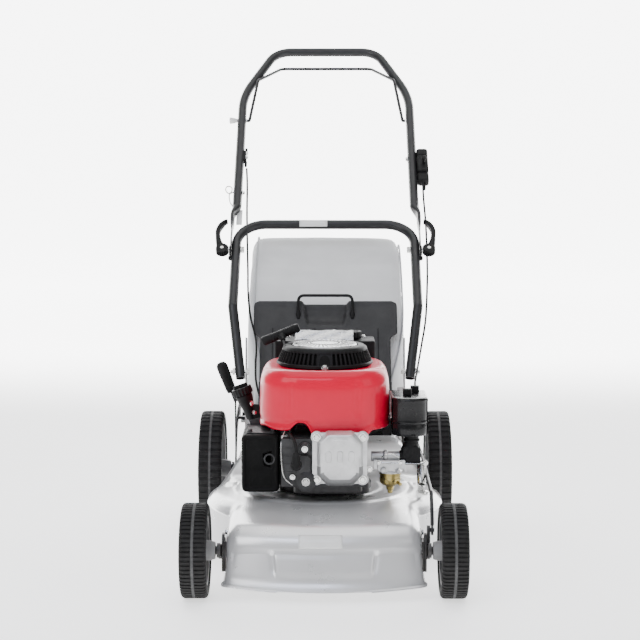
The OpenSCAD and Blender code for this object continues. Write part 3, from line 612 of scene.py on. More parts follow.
def rim(name, body, node, side, x, y, z, r, hub_in, hub_out):
    """Dished plastic rim: a barrel, a ribbed web and a hub with a cap on the outside."""
    kit = Kit()
    ax, at = (side, 0, 0), (side * x, y, z)
    kit.turned([(r - 5, -21), (r - 0.3, -22.5), (r - 0.3, 22.5), (r - 3, 23), (r - 6.5, 21.5), (r - 8, 8),
                (r - 9, 2), (r - 9, -2), (r - 8, -8), (r - 6.5, -20)], at, ax, 56, caps=False)
    web = [(17, 9), (26, 6), (r * 0.62, 2.5), (r - 8, 2.5), (r - 8, -2.5), (r * 0.62, -2.5),
           (26, -6), (17, -9)]
    kit.turned(web, at, ax, 56, caps=False)
    a, u, v = square_to(ax)
    for k in range(10):
        t = math.radians(36 * k)
        d = u * math.cos(t) + v * math.sin(t)
        w = a.cross(d)
        for s in (-1, 1):
            kit.slab([(18, s * 2), (r - 7, s * 2), (r - 8, s * 9), (22, s * 15)] if s > 0 else
                     [(22, s * 15), (r - 8, s * 9), (r - 7, s * 2), (18, s * 2)],
                     Vector(at) - w * 1.6, d, a, -3.2)
    inward = x - hub_in
    kit.turned([(9.2, -inward), (16, -inward), (18.5, -inward + 8), (19, -6), (19, 12), (17, 20),
                (9.2, 20)], at, ax, 32, caps=False)
    kit.turned([(20, 19), (20, 21), (18.5, hub_out - x + 4), (12, hub_out - x + 6.4),
                (4, hub_out - x + 6.9)], at, ax, 32)
    kit.done(name, rim_grey, [node], body=body, bevel=0.5, sharp=40)


for side, hand in SIDES:
    for end, x, y, r, wall, lugs, *_ in WHEELS:
        tyre(f"{end}_tread_{hand}", f"{end}_wheel_{hand}", f"{end}_tyre_{hand}", side * x, y, r, wall, lugs)
    for end, x, y, z, *_, r, hub_in, hub_out in WHEELS:
        rim(f"{end}_dish_{hand}", f"{end}_wheel_{hand}", f"{end}_rim_{hand}", side, x, y, z, r,
            hub_in, hub_out)

# ---------- cowl and recoil starter ----------


def cowl_plan(t):
    """Plan of the cowl inset by t: a bowed front, full sides and rounded back corners."""
    out = []
    for k in range(144):
        a = 2 * math.pi * k / 144
        c, s = math.cos(a), math.sin(a)
        front = s < 0
        px = 4.2 if front else 5.5
        f = (abs(c) ** px + abs(s) ** px) ** (-1 / px)
        x = (130 - t) * c * f
        y = (131 - t) * s * f if front else (136 - t) * s * f
        bowed = 22 * (x / 130) ** 2 if front else 0
        out.append((x, 266 + y + bowed * smooth_step(0.0, 0.75, -s)))
    return out


def make_cowl():
    """The cowl over the flywheel, open in the middle for the starter."""
    kit = Kit()
    levels = [(291, 4.5), (290, 1.5), (291.5, 0.2), (296, 0), (301, 1.6), (305, 2.2), (311, 0.4)]
    levels += [(z, 0.3 + 1.2 * ((z - 311) / 60) ** 2) for z in (318, 328, 340, 352, 364)]
    levels += [(369 + 38 * math.sin(a), 1.5 + 27 * (1 - math.cos(a)) ** 1.2)
               for a in np.radians(range(9, 91, 9))]
    levels += [(406.2, 35), (403.4, 41), (401.2, 47)]
    rows = []
    for z, t in levels:
        low = 1 - smooth_step(292, 312, z)
        row = []
        for x, y in cowl_plan(t):
            # two upright grooves; along the lower edge an arch, a tongue and a high corner
            front = 1 - smooth_step(150, 215, y)
            groove = math.exp(-((abs(x) - 67) / 2.3) ** 2) * smooth_step(312, 322, z) if z < 398 else 0
            arch = 17 * math.exp(-((x + 46) / 17) ** 4)
            tongue = 12 * band(-30, -24, 84, 90, x)
            corner = 13 * (1 - smooth_step(-128, -100, x))
            row.append(Vector((x, y + 2.6 * groove * front, z + (arch - tongue + corner) * low * front)))
        rows.append(row)
    kit.grid(rows, 0, True)
    ring = []
    for p in rows[-1]:
        out = Vector((p.x, p.y - SHAFT, 0)).normalized() * 84
        ring.append(Vector((out.x, out.y + SHAFT, 401.6)))
    kit.grid([rows[-1], ring], 0, True)
    kit.done("cowl", red_paint, ["shroud"], thick=1.6, sharp=60, levels=1)


make_cowl()


FEET = (270, 30, 150)  # where the starter's three feet stand, in degrees round the crankshaft


def make_recoil():
    """The starter's housing with its vanes, feet, disc, slots and bolts."""
    kit = Kit()
    at, up = (0, SHAFT, 0), UP
    kit.turned([(86, 402.2), (97, 402.2), (98.5, 404), (97.5, 409), (95.5, 410.5), (90, 409)], at, up,
               96, caps=False)
    kit.turned([(84.5, 432), (86.5, 433), (84.5, 438.5), (80, 441.7), (72, 442.6), (68, 442.2), (66, 438)],
               at, up, 96, caps=False)
    kit.turned([(90, 403), (88.5, 409), (80.5, 433), (64, 437)], at, up, 64, mat=1, caps=False)
    kit.turned([(62, 434), (34, 434)], at, up, 48, mat=1, caps=False)
    for k in range(60):
        turn = 6 * (k + 0.5)
        if min(abs((turn - a + 180) % 360 - 180) for a in FEET) >= 9:
            kit.bar(round_shaft(94.6, turn, 408), round_shaft(83.2, turn, 436), 3.6, 4.4)
    for k in range(48):
        kit.bar(round_shaft(38, 7.5 * k, 439.5), round_shaft(70, 7.5 * k + math.degrees(0.16), 440.6), 2.6,
                3.6)
    kit.turned([(40, 436), (41, 441.4), (39, 443), (22, 444), (20.5, 443.2), (19, 443.4), (0.2, 444.6)], at,
               up, 64, mat=0, caps=False)
    for foot in FEET:
        out, side = round_shaft(1, foot) - Vector(at), round_shaft(1, foot + 90) - Vector(at)
        rise = (Vector(UP) * 30 - out * 13).normalized()
        arch = [(-16, 0), (16, 0)] + [(x * 13.5 / 13, y) for x, y in arc(0, 20, 13, range(0, 181, 20))]
        kit.slab(arch, round_shaft(90.5, foot, 403), side, rise, 6.5)
        kit.slab([(x * 0.72, 3 + y * 0.78) for x, y in arch], round_shaft(96, foot, 403), side, rise, 2.2,
                 mat=1)
    kit.done("recoil_housing", [black_plastic, heat_paint], ["recoil_cover"], bevel=0.5, sharp=38)
    plate = Kit()
    plate.turned([(65, 442.2), (64, 443.8), (36, 444.8), (0.2, 445.6)], at, up, 96)
    plate.done("recoil_disc", foil_plate, slot="bright_steel", sharp=40)
    slots = Kit()
    for k in range(40):
        slots.bar(round_shaft(34, 9 * k, 444.6), round_shaft(61, 9 * k + math.degrees(0.12), 443.8), 2.4,
                  0.9)
    slots.turned([(31, 444.9), (31, 445.4), (28, 445.5), (28, 445)], at, up, 64, caps=False)
    slots.done("recoil_slots", heat_paint, slot="black_plastic")
    bolts = Kit()
    for foot in FEET:
        lean = round_shaft(0.45, foot) - Vector(at)
        bolts.bolt(round_shaft(100, foot, 406), (lean.x, lean.y, 1), 5)
    for x in (-101, 101):
        bolts.bolt((x, 236, 401), UP, 5)
    bolts.done("recoil_bolts", bright_zinc)


make_recoil()
GRIP, GRIP_DIR, PULL = Vector((-90, 352, 456)), Vector((0.928, 0, 0.371)), Vector((-0.189, 0.903, 0.385))
kit = Kit()
kit.turned([(0.5, -42), (8, -41.5), (10, -38), (9.4, -22), (8.2, -8), (8, 6), (8.6, 22), (9.3, 36),
            (7.6, 39.5), (0.5, 40)], GRIP, GRIP_DIR, 24)
for h in range(-34, 36, 5):
    kit.turned([(9.1, h), (9.9, h + 1), (9.9, h + 2), (9.1, h + 3)], GRIP, GRIP_DIR, 24, caps=False)
kit.turned([(8, -6), (7.5, -14), (5, -26)], GRIP, PULL, 20)
kit.done("pull_grip", black_plastic, ["starter_grip"], body="starter", sharp=45)
kit = Kit()
kit.tube([GRIP - PULL * 24, GRIP - PULL * 34, GRIP - PULL * 44, Vector((-72, 300, 431)),
          Vector((-66, 286, 430))], 2.2, 10)
kit.done("starter_rope", rope, slot="rubber_black", sharp=60, between=("chassis", "starter",
                                                                       metres(GRIP - PULL * 46),
                                                                       metres(GRIP - PULL * 27)))

# ---------- engine ----------
def make_valve_cover():
    """The eight-sided head cover with its corner bolts."""
    kit = Kit()
    corners = ((-15, 200), (74, 200), (74, 283), (-15, 283))
    ears = []
    for (cx, cz), a0 in zip(corners, (180, 270, 0, 90)):
        ears += arc(cx, cz, 11.5, range(a0 - 40, a0 + 131, 17))
    kit.slab(ears, (0, 125, 0), *FRONT_FACE, 7)
    rows = []
    for y, t in ((124, -1), (119, 0), (108, 3.5), (104, 5), (102.2, 8), (101.6, 14)):
        w, h, c = 45 - t, 53 - t, 20 - t * 0.6
        octagon = [(w, c - h), (w, h - c), (w - c, h), (c - w, h), (-w, h - c), (-w, c - h), (c - w, -h),
                   (w - c, -h)]
        row = []
        for i in range(8):
            a, b = octagon[i - 1], octagon[i]
            row += [(30 + lerp(a[0], b[0], k), y, 241 + lerp(a[1], b[1], k))
                    for k in (0.06, 0.28, 0.5, 0.72, 0.94)]
        rows.append(row)
    # the face leans back below this height
    low = 222
    for row in rows:
        row[:] = [(x, y + (9 * max(0, low - z) / 38 if y < 110 else 0), z) for x, y, z in row]
    kit.grid(rows, 0, True, True)
    # the front faces below z 221 take the darker grey: painted shade on the part of the face that leans back
    for i, f in enumerate(kit.faces):
        middle = sum((kit.verts[j] for j in f), Vector()) / len(f)
        if len(f) == 4 and middle.z < 221 and 100 < middle.y < 119:
            kit.mats[i] = 1
    for x in (8, 30, 52):
        kit.pad(11, 22, 4, (x, 102.2, 247), FRONT_FACE, 1.8)
    kit.pad(30, 4.5, 2, (30, 102.4, 280), FRONT_FACE, 1.6)
    for cx, cz in corners:
        kit.turned([(10, 0), (9.4, 3)], (cx, 120, cz), AHEAD, 24)
    kit.done("head_cover", [cast_aluminium, rough_cast], ["valve_cover"], bevel=1.0, segments=3, sharp=24)
    bolts = Kit()
    for cx, cz in corners:
        bolts.bolt((cx, 117, cz), AHEAD, 5.4, 5)
    bolts.done("head_bolts", bright_zinc, ["cover_bolts"])


def make_exhaust():
    """The box guard with its outlet and slots, and the plate on top of it."""
    kit = Kit()
    lo, hi = (-162.5, 150, 167), (-89, 288, 281)
    cx, cz = (lo[0] + hi[0]) / 2, (lo[2] + hi[2]) / 2
    w, h = hi[0] - lo[0], hi[2] - lo[2]

    def ring(inset, y, r):
        return [(cx + a, y, cz + b) for a, b in rounded_rect(w - 2 * inset, h - 2 * inset, r, 6)]

    face = [ring(0, 284, 9), ring(0, 158, 9), ring(0.6, 154, 9), ring(2.4, 151.2, 8), ring(5, 150.2, 7),
            ring(7, 151.2, 6), ring(9, 152.6, 5)]
    ox, oz = -108, 233
    n = len(face[0])
    hole = []
    for k in range(n):
        p = face[-1][k]
        d = Vector((p[0] - ox, 0, p[2] - oz)).normalized()
        hole.append((ox + 17 * d.x, 152.6, oz + 17 * d.z))
    face += [hole]
    for r, y in ((15.5, 154.2), (14.5, 156.5), (13.2, 158), (11.6, 158)):
        face.append([(ox + (p[0] - ox) * r / 17, y, oz + (p[2] - oz) * r / 17) for p in hole])
    kit.grid(face, 0, True)
    kit.turned([(8.1, 22), (8.1, -1), (9.2, -2), (11, -1), (11, 22)], (ox, 155, oz), (0, 1, 0),
               40, caps=False)
    kit.pad(8, 92, 3, (-84.5, 158, 226), FRONT_FACE, -3)
    for z in (186, 200, 214, 228, 242, 256, 268):
        for y in (176, 206, 236, 262):
            kit.pad(20, 4.4, 2, (-162.6, y, z), SIDE_FACE, -0.8)
    kit.done("exhaust_guard", heat_paint, ["muffler_guard"], sharp=32, thick=0)
    kit = Kit()
    kit.pad(60, 104, 7, (-124, 216, 281.5), TOP_FACE, 2.2)
    kit.bar((-150, 262, 283), (-96, 262, 296), 3, 18)
    for x in (-147, -101):
        kit.bolt((x, 176, 283.5), UP, 4.5)
    kit.done("exhaust_top", dark_cast, bevel=0.8)


def make_engine_front():
    """Fins, push-rod housing, plug, lead and cast base, between the exhaust and the head cover."""
    kit = Kit()
    for i in range(9):
        x = -80 + 6.2 * i
        kit.slab([(126, 186), (170, 186), (172, 270), (126, 276)], (x, 0, 0), *SIDE_FACE, 1.8)
    for z in (196, 212, 228, 244, 260):
        kit.box((-82, 124, z), (-26, 150, z + 2.4))
    kit.pad(26, 62, 9, (-40, 124, 216), FRONT_FACE, 7)
    kit.turned([(11, 0), (11, 8), (8.5, 11), (8.5, 20)], (-38, 124, 262), AHEAD, 24)
    kit.turned([(0.4, 0), (20, 0), (20, 6), (12, 10), (0.4, 10)], (-36, 122, 196), (0, -1, 0.1), 32)
    kit.done("cylinder_fins", dark_cast, bevel=0.4)
    kit = Kit()
    kit.bolt((-36, 112, 196), (0, -1, 0.1), 5.5)
    kit.bolt((-38, 104, 262), AHEAD, 4.2)
    kit.bolt((-62, 120, 204), AHEAD, 3.6)
    kit.bolt((88, 150, 214), AHEAD, 4)
    kit.done("front_hardware", bright_zinc)
    kit = Kit()
    kit.turned([(0.5, -1), (8.5, 0), (10, 3), (10, 14), (8.8, 19), (8.8, 27), (7.2, 31), (0.5, 32)],
               (-54, 107, 232), AHEAD, 28)
    kit.tube(spline([(-54, 84, 232), (-54, 80, 240), (-54, 82, 250), (-54, 86, 256)], 4),
             [8.6] * 5 + [8.2] * 4 + [7] * 4, 16)
    for k in range(5):
        kit.turned([(9.8, 0), (10.6, 0.8), (9.8, 1.6)], (-54, 104 - 3 * k, 232), AHEAD, 28, caps=False)
    kit.done("plug_boot", rubber, ["plug_cap"], sharp=45)
    kit = Kit()
    kit.tube(spline([(-54, 86, 254.2), (-54, 88, 264), (-57, 98, 275), (-62, 116, 283), (-68, 140, 284),
                     (-74, 160, 288), (-78, 180, 300), (-78, 196, 310)], 6), 3.5, 12)
    kit.done("plug_lead", rubber, ["ignition_lead"], sharp=60)
    kit = Kit()
    kit.tube(spline([(-78, 148, 288), (-84, 128, 270), (-83, 118, 235), (-78, 114, 205), (-62, 112, 190)],
                    6), 1.1, 8)
    kit.done("brake_wire", bright_steel, sharp=60)
    # cast base with its bolts
    kit = Kit()
    kit.turned([(95, 148.2), (95, 156), (92, 160), (84, 162), (80, 166), (79.5, 176)], (0, SHAFT, 0), UP,
               96, caps=False)
    for a in range(205, 350, 29):
        kit.turned([(10, 148.3), (10, 163), (8, 165)], round_shaft(90, a), UP, 20)
    kit.turned([(60, 172), (64, 176), (64, 182), (60, 186)], (0, 262, 0), UP, 64, caps=False)
    kit.pad(150, 74, 22, (14, 206, 160), TOP_FACE, 22)
    kit.pad(120, 40, 14, (14, 156, 170), TOP_FACE, 14)
    kit.done("engine_base", dark_cast, bevel=0.9)
    kit = Kit()
    for a in range(205, 350, 29):
        kit.bolt(round_shaft(90, a, 164.5), UP, 4.6)
    kit.done("base_bolts", bright_zinc)


def make_intake():
    """Air filter, elbow, carburettor, bowl, linkage and the deck's rinse pipe."""
    kit = Kit()

    def outline(t, z):
        pts = [(132 + t, 272 - t), (132 + t, 172 + t)]
        pts += [(167.5 + (35.5 - t) * math.cos(a), 182 + (32 - t) * math.sin(a))
                for a in np.radians(range(186, 355, 8))]
        pts += [(203 - t, 172 + t), (203 - t, 272 - t)]
        return [(x, y, z) for x, y in pts]

    kit.grid([outline(t, z) for z, t in ((277, 6), (277.5, 3), (280, 0.8), (284, 0), (298, 0), (300, 0.8),
                                         (302, 0.8), (303, 0), (304, -0.6), (306, -0.6), (307.5, 0),
                                         (309, 0.2), (343, 0.3), (346, 0), (348, -0.5), (350, 0.2),
                                         (352.2, 2.6), (353, 6), (353.4, 20), (353.6, 34))], 0, True, True)
    kit.done("filter_case", gloss_black, ["filter_cover", "filter_base"], sharp=34)
    kit = Kit()
    for x, y in ((163, 196), (180, 236)):
        kit.pad(17, 15, 3, (x, y, 353.4), TOP_FACE, 13)
        kit.turned([(5, 353), (5, 357)], (x, y, 0), UP, 20)
    kit.done("filter_catches", black_plastic, bevel=1.2, segments=3)
    kit = Kit()
    kit.tube([(172, 190, 278), (172, 190, 262), (170, 190, 248), (164, 190, 236), (156, 190, 231),
              (148, 190, 231)], [14, 14.5, 17, 18, 15, 12], 28)
    kit.pad(34, 36, 6, (172, 174, 236), FRONT_FACE, -5)
    kit.turned([(15, 0), (16.4, 1), (16.4, 4), (15, 5)], (172, 190, 268), (0, 0, -1), 32, caps=False)
    kit.done("intake_pipe", black_plastic, ["intake_elbow"], bevel=0.8)
    kit = Kit()
    kit.pad(42, 20, 4, (126, 206, 214), FRONT_FACE, 34)
    kit.turned([(10, 0), (10, 24), (13, 26), (13, 31), (10, 33), (10, 60)], (92, 190, 232), ACROSS, 28)
    kit.pad(62, 5.4, 2, (128, 172, 225), FRONT_FACE, 4)
    for x in (100, 154):
        kit.pad(8, 18, 2, (x, 171, 220), FRONT_FACE, 6)
    kit.turned([(6, 0), (6, 7), (4, 8)], (116, 172, 208), AHEAD, 20)
    kit.turned([(4.5, 0), (4.5, 10), (3, 12)], (143, 172, 206), (0.3, -1, 0), 20)
    kit.turned([(22.5, 0), (23.5, 1.2), (23.5, 3.4), (22, 4.2)], (130, 190, 200), UP, 40)
    kit.turned([(3, -10), (3, 10)], (158, 184, 214), UP, 16)
    kit.done("carburettor_body", cast_aluminium, ["carburettor"], bevel=0.7)
    kit = Kit()
    kit.turned([(21.6, 201), (21.6, 197), (20.4, 196), (20.4, 190), (21, 189), (21, 185), (20, 180),
                (16, 176), (11, 174.5), (8, 172), (7, 166), (5.2, 164), (5.2, 160), (3.4, 158.2),
                (0.4, 158)], (130, 190, 0), UP, 44, caps=False)
    kit.turned([(3.6, 0), (3.6, 9), (2.6, 10)], (146, 180, 181), (0.5, -1, -0.2), 14)
    kit.done("fuel_bowl", brass, ["float_bowl"], sharp=30)
    kit = Kit()
    kit.tube([(98, 168, 224), (150, 168, 222), (178, 168, 221), (199, 170, 222)], 1.2, 8)
    kit.tube(spline([(112, 168, 233), (118, 162, 240), (132, 160, 242), (146, 160, 236)], 5), 1.2, 8)
    kit.bolt((199, 172, 222), AHEAD, 3.4)
    for x in (106, 150):
        kit.bolt((x, 168, 224), AHEAD, 3)
    kit.done("throttle_linkage", bright_zinc)
    kit = Kit()
    kit.turned([(6, 1), (7.6, 0), (8.5, 1.4), (8.5, 44), (7, 45.5), (0.4, 45.5)], (193, 206, 172),
               (0, 0.6, 0.8), 32, caps=False)
    kit.turned([(6, 0.4), (6, 30), (0.4, 30)], (193, 206, 172), (0, 0.6, 0.8), 24, caps=False)
    kit.pad(11, 34, 3, (193, 231, 166), FRONT_FACE, -4)
    kit.bolt((199, 222, 150), (0.3, -0.5, 1), 3.4)
    kit.done("rinse_pipe", bright_zinc, ["wash_port"], slot="bright_steel", sharp=40)


def fluted(r, n, depth):
    """A circle of n points with every other pair of them cut in."""
    return [arc(0, 0, r - (depth if k % 4 < 2 else 0), [360 * k / n])[0] for k in range(n)]


def make_filler():
    """The leaning oil filler with its fluted plug."""
    low, d = Vector((-150, 341, 283)), Vector((-0.342, 0, 0.94)).normalized()
    kit = Kit()
    kit.tube(spline([(-82, 320, 208), (-112, 328, 240), (-138, 336, 268), low, low + d * 14], 5), [9] * 21,
             20)
    kit.turned([(10.5, 0), (11.5, 4), (12, 18), (15, 34), (17, 44), (17, 51), (12, 52)], low, d, 36)
    kit.slab([(0, -26), (26, -20), (26, 16), (0, 22)], (-146, 331, 292), (1, 0, 0.2), (0, 0, 1), 4)
    kit.done("filler_neck", black_plastic, ["oil_filler"], bevel=0.5)
    kit = Kit()
    a, u, v = square_to(d)
    rows = []
    for r, h in ((14, 52.2), (20.5, 52.4), (21, 53.4), (21, 66), (20, 67.6), (17.5, 68), (16, 67.2),
                 (0.5, 67)):
        rows.append([low + a * h + u * x + v * y for x, y in fluted(r, 72, 1.5 if r > 20.2 else 0)])
    kit.grid(rows, 0, True, True)
    kit.slab(rounded_rect(30, 9, 4), low + d * 67.4, u, v, 7)
    kit.done("oil_plug", black_plastic, ["oil_cap"], body="oil_plug", bevel=0.6, sharp=40)
    kit = Kit()
    for h in (14, 34):
        kit.bolt(low + d * h + Vector((10, -10, 0)), (0.4, -1, 0), 4)
    kit.done("filler_screws", bright_zinc)


def make_tank_top():
    """The fuel cap, the foil plate in front of it and the tank's screws."""
    kit = Kit()
    steps = ((22.4, 438), (29.5, 438.2), (30, 439.4), (30, 450), (28.8, 452.4), (25, 453), (23.5, 452),
             (0.5, 451.6))
    kit.grid([[(48 + x, 444 + y, z) for x, y in fluted(r, 88, 1.8 if r > 29 else 0)] for r, z in steps], 0,
             True)
    kit.slab(rounded_rect(44, 9, 4), (48, 444, 451.6), (1, 0.2, 0), (-0.2, 1, 0), 1.2)
    kit.done("tank_lid", black_plastic, ["fuel_cap"], body="tank_cap", bevel=0.5, sharp=40)
    kit = Kit()
    rows = []
    for i in range(9):
        s = i / 8
        rows.append([(x, 401 + 16 * s + 1.1 * math.sin(x * 0.19 + i) * math.sin(x * 0.05 + 2 * i),
                      437.5 + 20 * s + 0.5 * math.sin(x * 0.11)) for x in np.linspace(-63, 60, 60)])
    kit.grid(rows)
    kit.done("tank_plate", foil_plate, slot="bright_steel", thick=0.8, sharp=60)
    kit = Kit()
    kit.pad(196, 5, 2, (0, 486.6, 340), FRONT_FACE, 0.6)
    for x in (-80, 80):
        kit.bolt((x, 470, 436), UP, 5)
    kit.done("tank_screws", bright_zinc, bevel=0.3)


make_valve_cover()
make_exhaust()
make_engine_front()
make_intake()
make_filler()
make_tank_top()


# ---------- handle ----------
TUBE, UPPER_X, LENGTH, TOP_HALF, TOP_BEND, TURN, WIDE = 11, 213.5, 751, 93, 60, 66, 250


def handle_line():
    """Centre line of the upper handle's right half, in its own plane, from the middle of the top bar down."""
    k = math.radians(TURN)
    turned_x, turned_s = TOP_HALF + TOP_BEND * math.sin(k), LENGTH - TOP_BEND * (1 - math.cos(k))
    wide_x = UPPER_X - WIDE * (1 - math.sin(k))
    wide_s = turned_s - (wide_x - turned_x) * math.tan(k) - WIDE * math.sin(math.pi / 2 - k)
    pts = [(x, LENGTH) for x in (0, 30, 60)]
    pts += [(TOP_HALF + TOP_BEND * math.sin(a), LENGTH - TOP_BEND + TOP_BEND * math.cos(a))
            for a in np.linspace(0, k, 14)]
    pts += [(UPPER_X - WIDE + WIDE * math.cos(a), wide_s + WIDE * math.sin(a)) for a in
            np.linspace(math.pi / 2 - k, 0, 16)]
    return pts + [(UPPER_X, s) for s in np.linspace(wide_s - 12, 150, 12)]


def make_upper_handle():
    """The bent tube with its flattened ends and their caps."""
    line = handle_line()
    kit = Kit()
    path = [plane(-x, s, 0) for x, s in reversed(line)][:-1] + [plane(x, s, 0) for x, s in line]
    kit.tube(path, TUBE, 28)
    for side in (-1, 1):
        rows = []
        for s in list(np.linspace(150, 100, 14)) + [92, 84, 76, 68, 60, 30, 0, -14, -22, -27, -29.4, -30]:
            t = smooth_step(150, 114, s)
            wide, mid = lerp(11, 15, t), lerp(UPPER_X, 222.7, t)
            half = lerp(11, 5.2, t) if s > 100 else lerp(1.8, 5.2, smooth_step(62, 100, s))
            if s < -15:
                wide = math.sqrt(max(0.3, 225 - (s + 15) ** 2))
            rows.append([plane(side * (mid + half * math.copysign(abs(math.cos(a)) ** lerp(1, 0.5, t),
                                                                  math.cos(a))), s, wide * math.sin(a))
                         for a in np.linspace(0, 2 * math.pi, 32, endpoint=False)])
        kit.grid(rows, 0, True, True)
    kit.done("handle_tube", handle_paint, ["upper_handle"], body="upper_frame", sharp=50)
    kit = Kit()
    for side in (-1, 1):
        kit.slab(rounded_rect(4.6, 34, 2), plane(side * 222.7, -18, 14.5), (1, 0, 0), ALONG_HANDLE, 1.6)
        kit.tube([plane(side * 222.7, s, 0) for s in (-24, -30, -33)], [5, 5, 3], 14)
    kit.done("handle_end_caps", black_plastic, body="upper_frame", bevel=0.4)


def make_bail():
    """The wire bar that is held against the handle while mowing."""
    pivot, corner, top = Vector((194.6, 1197, 904)), Vector((176, 1297.9,
                                                             1009.4)), Vector((119, 1420, 1044))
    half = [Vector((0, 1420, 1044)), top, corner, pivot, pivot + Vector((7, 0, 0))]
    path = [Vector((-p.x, p.y, p.z)) for p in reversed(half)] + half[1:]
    kit = Kit()
    kit.tube(filleted(path, 20, 8), 3.75, 18)
    kit.done("bail_rod", handle_paint, ["bail"], body="bail_bar", sharp=60)


def make_controls():
    """What sits on the two legs: clamp, rope guide, blank labels and the throttle."""
    # rivets, cable clamp, rope guide and blank strip on the left leg
    kit = Kit()
    kit.turned([(5, 0), (5, 2), (2, 3)], plane(-203, 470, 0), ACROSS, 20)
    kit.tube(spline([plane(-224, 198, 2), plane(-236, 192, 4), plane(-243, 202, 6), plane(-240, 214, 6),
                     plane(-230, 214, 4), plane(-228, 204, 2), plane(-234, 190, 0), plane(-231, 165, 0),
                     plane(-224, 150, 0)], 6), 1.5, 10)
    kit.bolt(plane(-202, 198, 0), ACROSS, 4)
    kit.bolt(plane(203, 322, 0), (-1, 0, 0), 5)
    for s in (336, 322):
        kit.bolt(plane(-198, s, 6), ACROSS, 4)
    kit.done("handle_hardware", bright_zinc, body="upper_frame")
    kit = Kit()
    kit.slab(rounded_rect(13, 34, 4), plane(-203, 330, -7), (1, 0, 0), ALONG_HANDLE, 14)
    kit.tube([plane(-198, 350, 0), plane(-198, 360, 1)], [3.6, 3], 14)
    kit.tube([plane(-198, 312, 0), plane(-198, 296, -2)], [3.6, 3], 14)
    kit.done("cable_clamp", black_plastic, body="upper_frame", bevel=1.2, segments=3)
    kit = Kit()
    kit.turned([(4, 0), (5.5, 3), (5.5, 6), (7, 8), (8.4, 19), (7.4, 21), (0.4, 21.4)], plane(-224, 470, 0),
               (-1, 0, 0), 28)
    kit.done("leg_plug", label_white, body="upper_frame", slot="zinc_plate", bevel=1.2, segments=3)
    kit = Kit()
    kit.slab(rounded_rect(14, 52, 2), plane(-207, 118, -7), (1, 0, 0), ALONG_HANDLE, 0.8)
    kit.done("leg_label", label_white, body="upper_frame", slot="zinc_plate", bevel=0.2)
    # blank label wrapped on the lower crossbar
    kit = Kit()
    rows = []
    for x in np.linspace(-62, 4, 8):
        rows.append([lower(x, 90 - 11.2 * math.cos(a), 11.2 * math.sin(a))
                     for a in np.radians(range(15, 122, 7))])
    kit.grid(rows)
    kit.done("crossbar_label", label_white, body="lower_frame", slot="zinc_plate", thick=0.3, sharp=60)
    # throttle control on the right leg
    kit = Kit()
    for s0, s1, w in ((234, 262, 24), (264, 322, 30), (324, 349, 26)):
        rows = []
        for s, t in ((s0, 3), (s0 + 1.5, 0.8), (s0 + 4, 0), (s1 - 4, 0), (s1 - 1.5, 0.8), (s1, 3)):
            rows.append([plane(238.5 + a, s, b) for a, b in rounded_rect(28 - 2 * t, w - 2 * t, 6, 5)])
        kit.grid(rows, 0, True, True)
    for s in (268, 316):
        kit.tube([plane(240, s, 14), plane(240, s, 15.8)], [3.5, 3], 16)
    kit.tube([plane(240, 236, -2), plane(240, 222, -3), plane(240, 214, -4)], [5, 4.2, 3.4], 16)
    kit.done("throttle_case", black_plastic, ["throttle_housing"], body="upper_frame", bevel=0.6)
    kit = Kit()
    kit.tube([plane(241, 292, 12), plane(241, 292, 24), plane(241, 292, 30), plane(241, 292, 34)],
             [3.6, 4, 6.5, 5], 18)
    kit.turned([(9, -3), (9, 3)], plane(241, 292, 2), ACROSS, 28)
    kit.done("throttle_knob", black_plastic, ["throttle_lever"], body="throttle", bevel=0.5)


def make_cam_levers():
    """The two hooked levers that clamp the fold, and their washers."""
    for side, hand in SIDES:
        kit = Kit()
        spine = spline([(241, -2, 0), (250, 18, 0), (254, 40, 0), (255.5, 62, 0), (251, 80, 0),
                        (243, 94, 0), (235, 101, 0)], 6)
        rows = []
        for i, p in enumerate(spine):
            a, b = spine[max(0, i - 1)], spine[min(len(spine) - 1, i + 1)]
            t = (b - a).normalized()
            out = Vector((t.y, -t.x, 0))
            f = i / (len(spine) - 1)
            thick = lerp(9, 5.4, smooth_step(0, 0.4, f)) - 2.4 * smooth_step(0.7, 1, f)
            w = lerp(8.4, 7.4, f)
            ring = []
            for q, r in rounded_rect(2 * thick, 2 * w, min(thick, 2.6), 3):
                ring.append(lower(side * (p.x + out.x * q), p.y + out.y * q, r))
            rows.append(ring)
        kit.grid(rows, 0, True, True)
        up = lower(0, 0, 1) - lower(0, 0, 0)
        base = lower(side * 242.5, 0, 0)
        for lo, hi in ((-8.5, -4.6), (4.6, 8.5)):
            kit.turned([(13, lo), (15, lo + 0.8), (15, hi - 0.8), (13, hi)], base, up, 40)
        for k in range(9):
            t = math.radians(205 + 17 * k)
            d = (lower(side * math.cos(t), math.sin(t), 0) - lower(0, 0, 0))
            kit.bar(base + d * 14.8 - up * 8.3, base + d * 14.8 + up * 8.3, 1.6, 1.6)
        kit.turned([(4.2, -8.9), (4.2, 8.9)], base, up, 20)
        kit.done(f"quick_lever_{hand}", black_plastic, [f"cam_lever_{hand}"], body=f"cam_{hand}", bevel=0.5,
                 sharp=40)
    kit = Kit()
    for side in (-1, 1):
        kit.turned([(4.2, 0), (9, 0), (9, 1.8), (4.2, 1.8)], (side * 225.2, *FOLD), (side, 0, 0), 28)
        kit.bolt((side * 198.4, *FOLD), (-side, 0, 0), 5.6, 6)
    kit.done("fold_washers", bright_zinc, body="lower_frame")


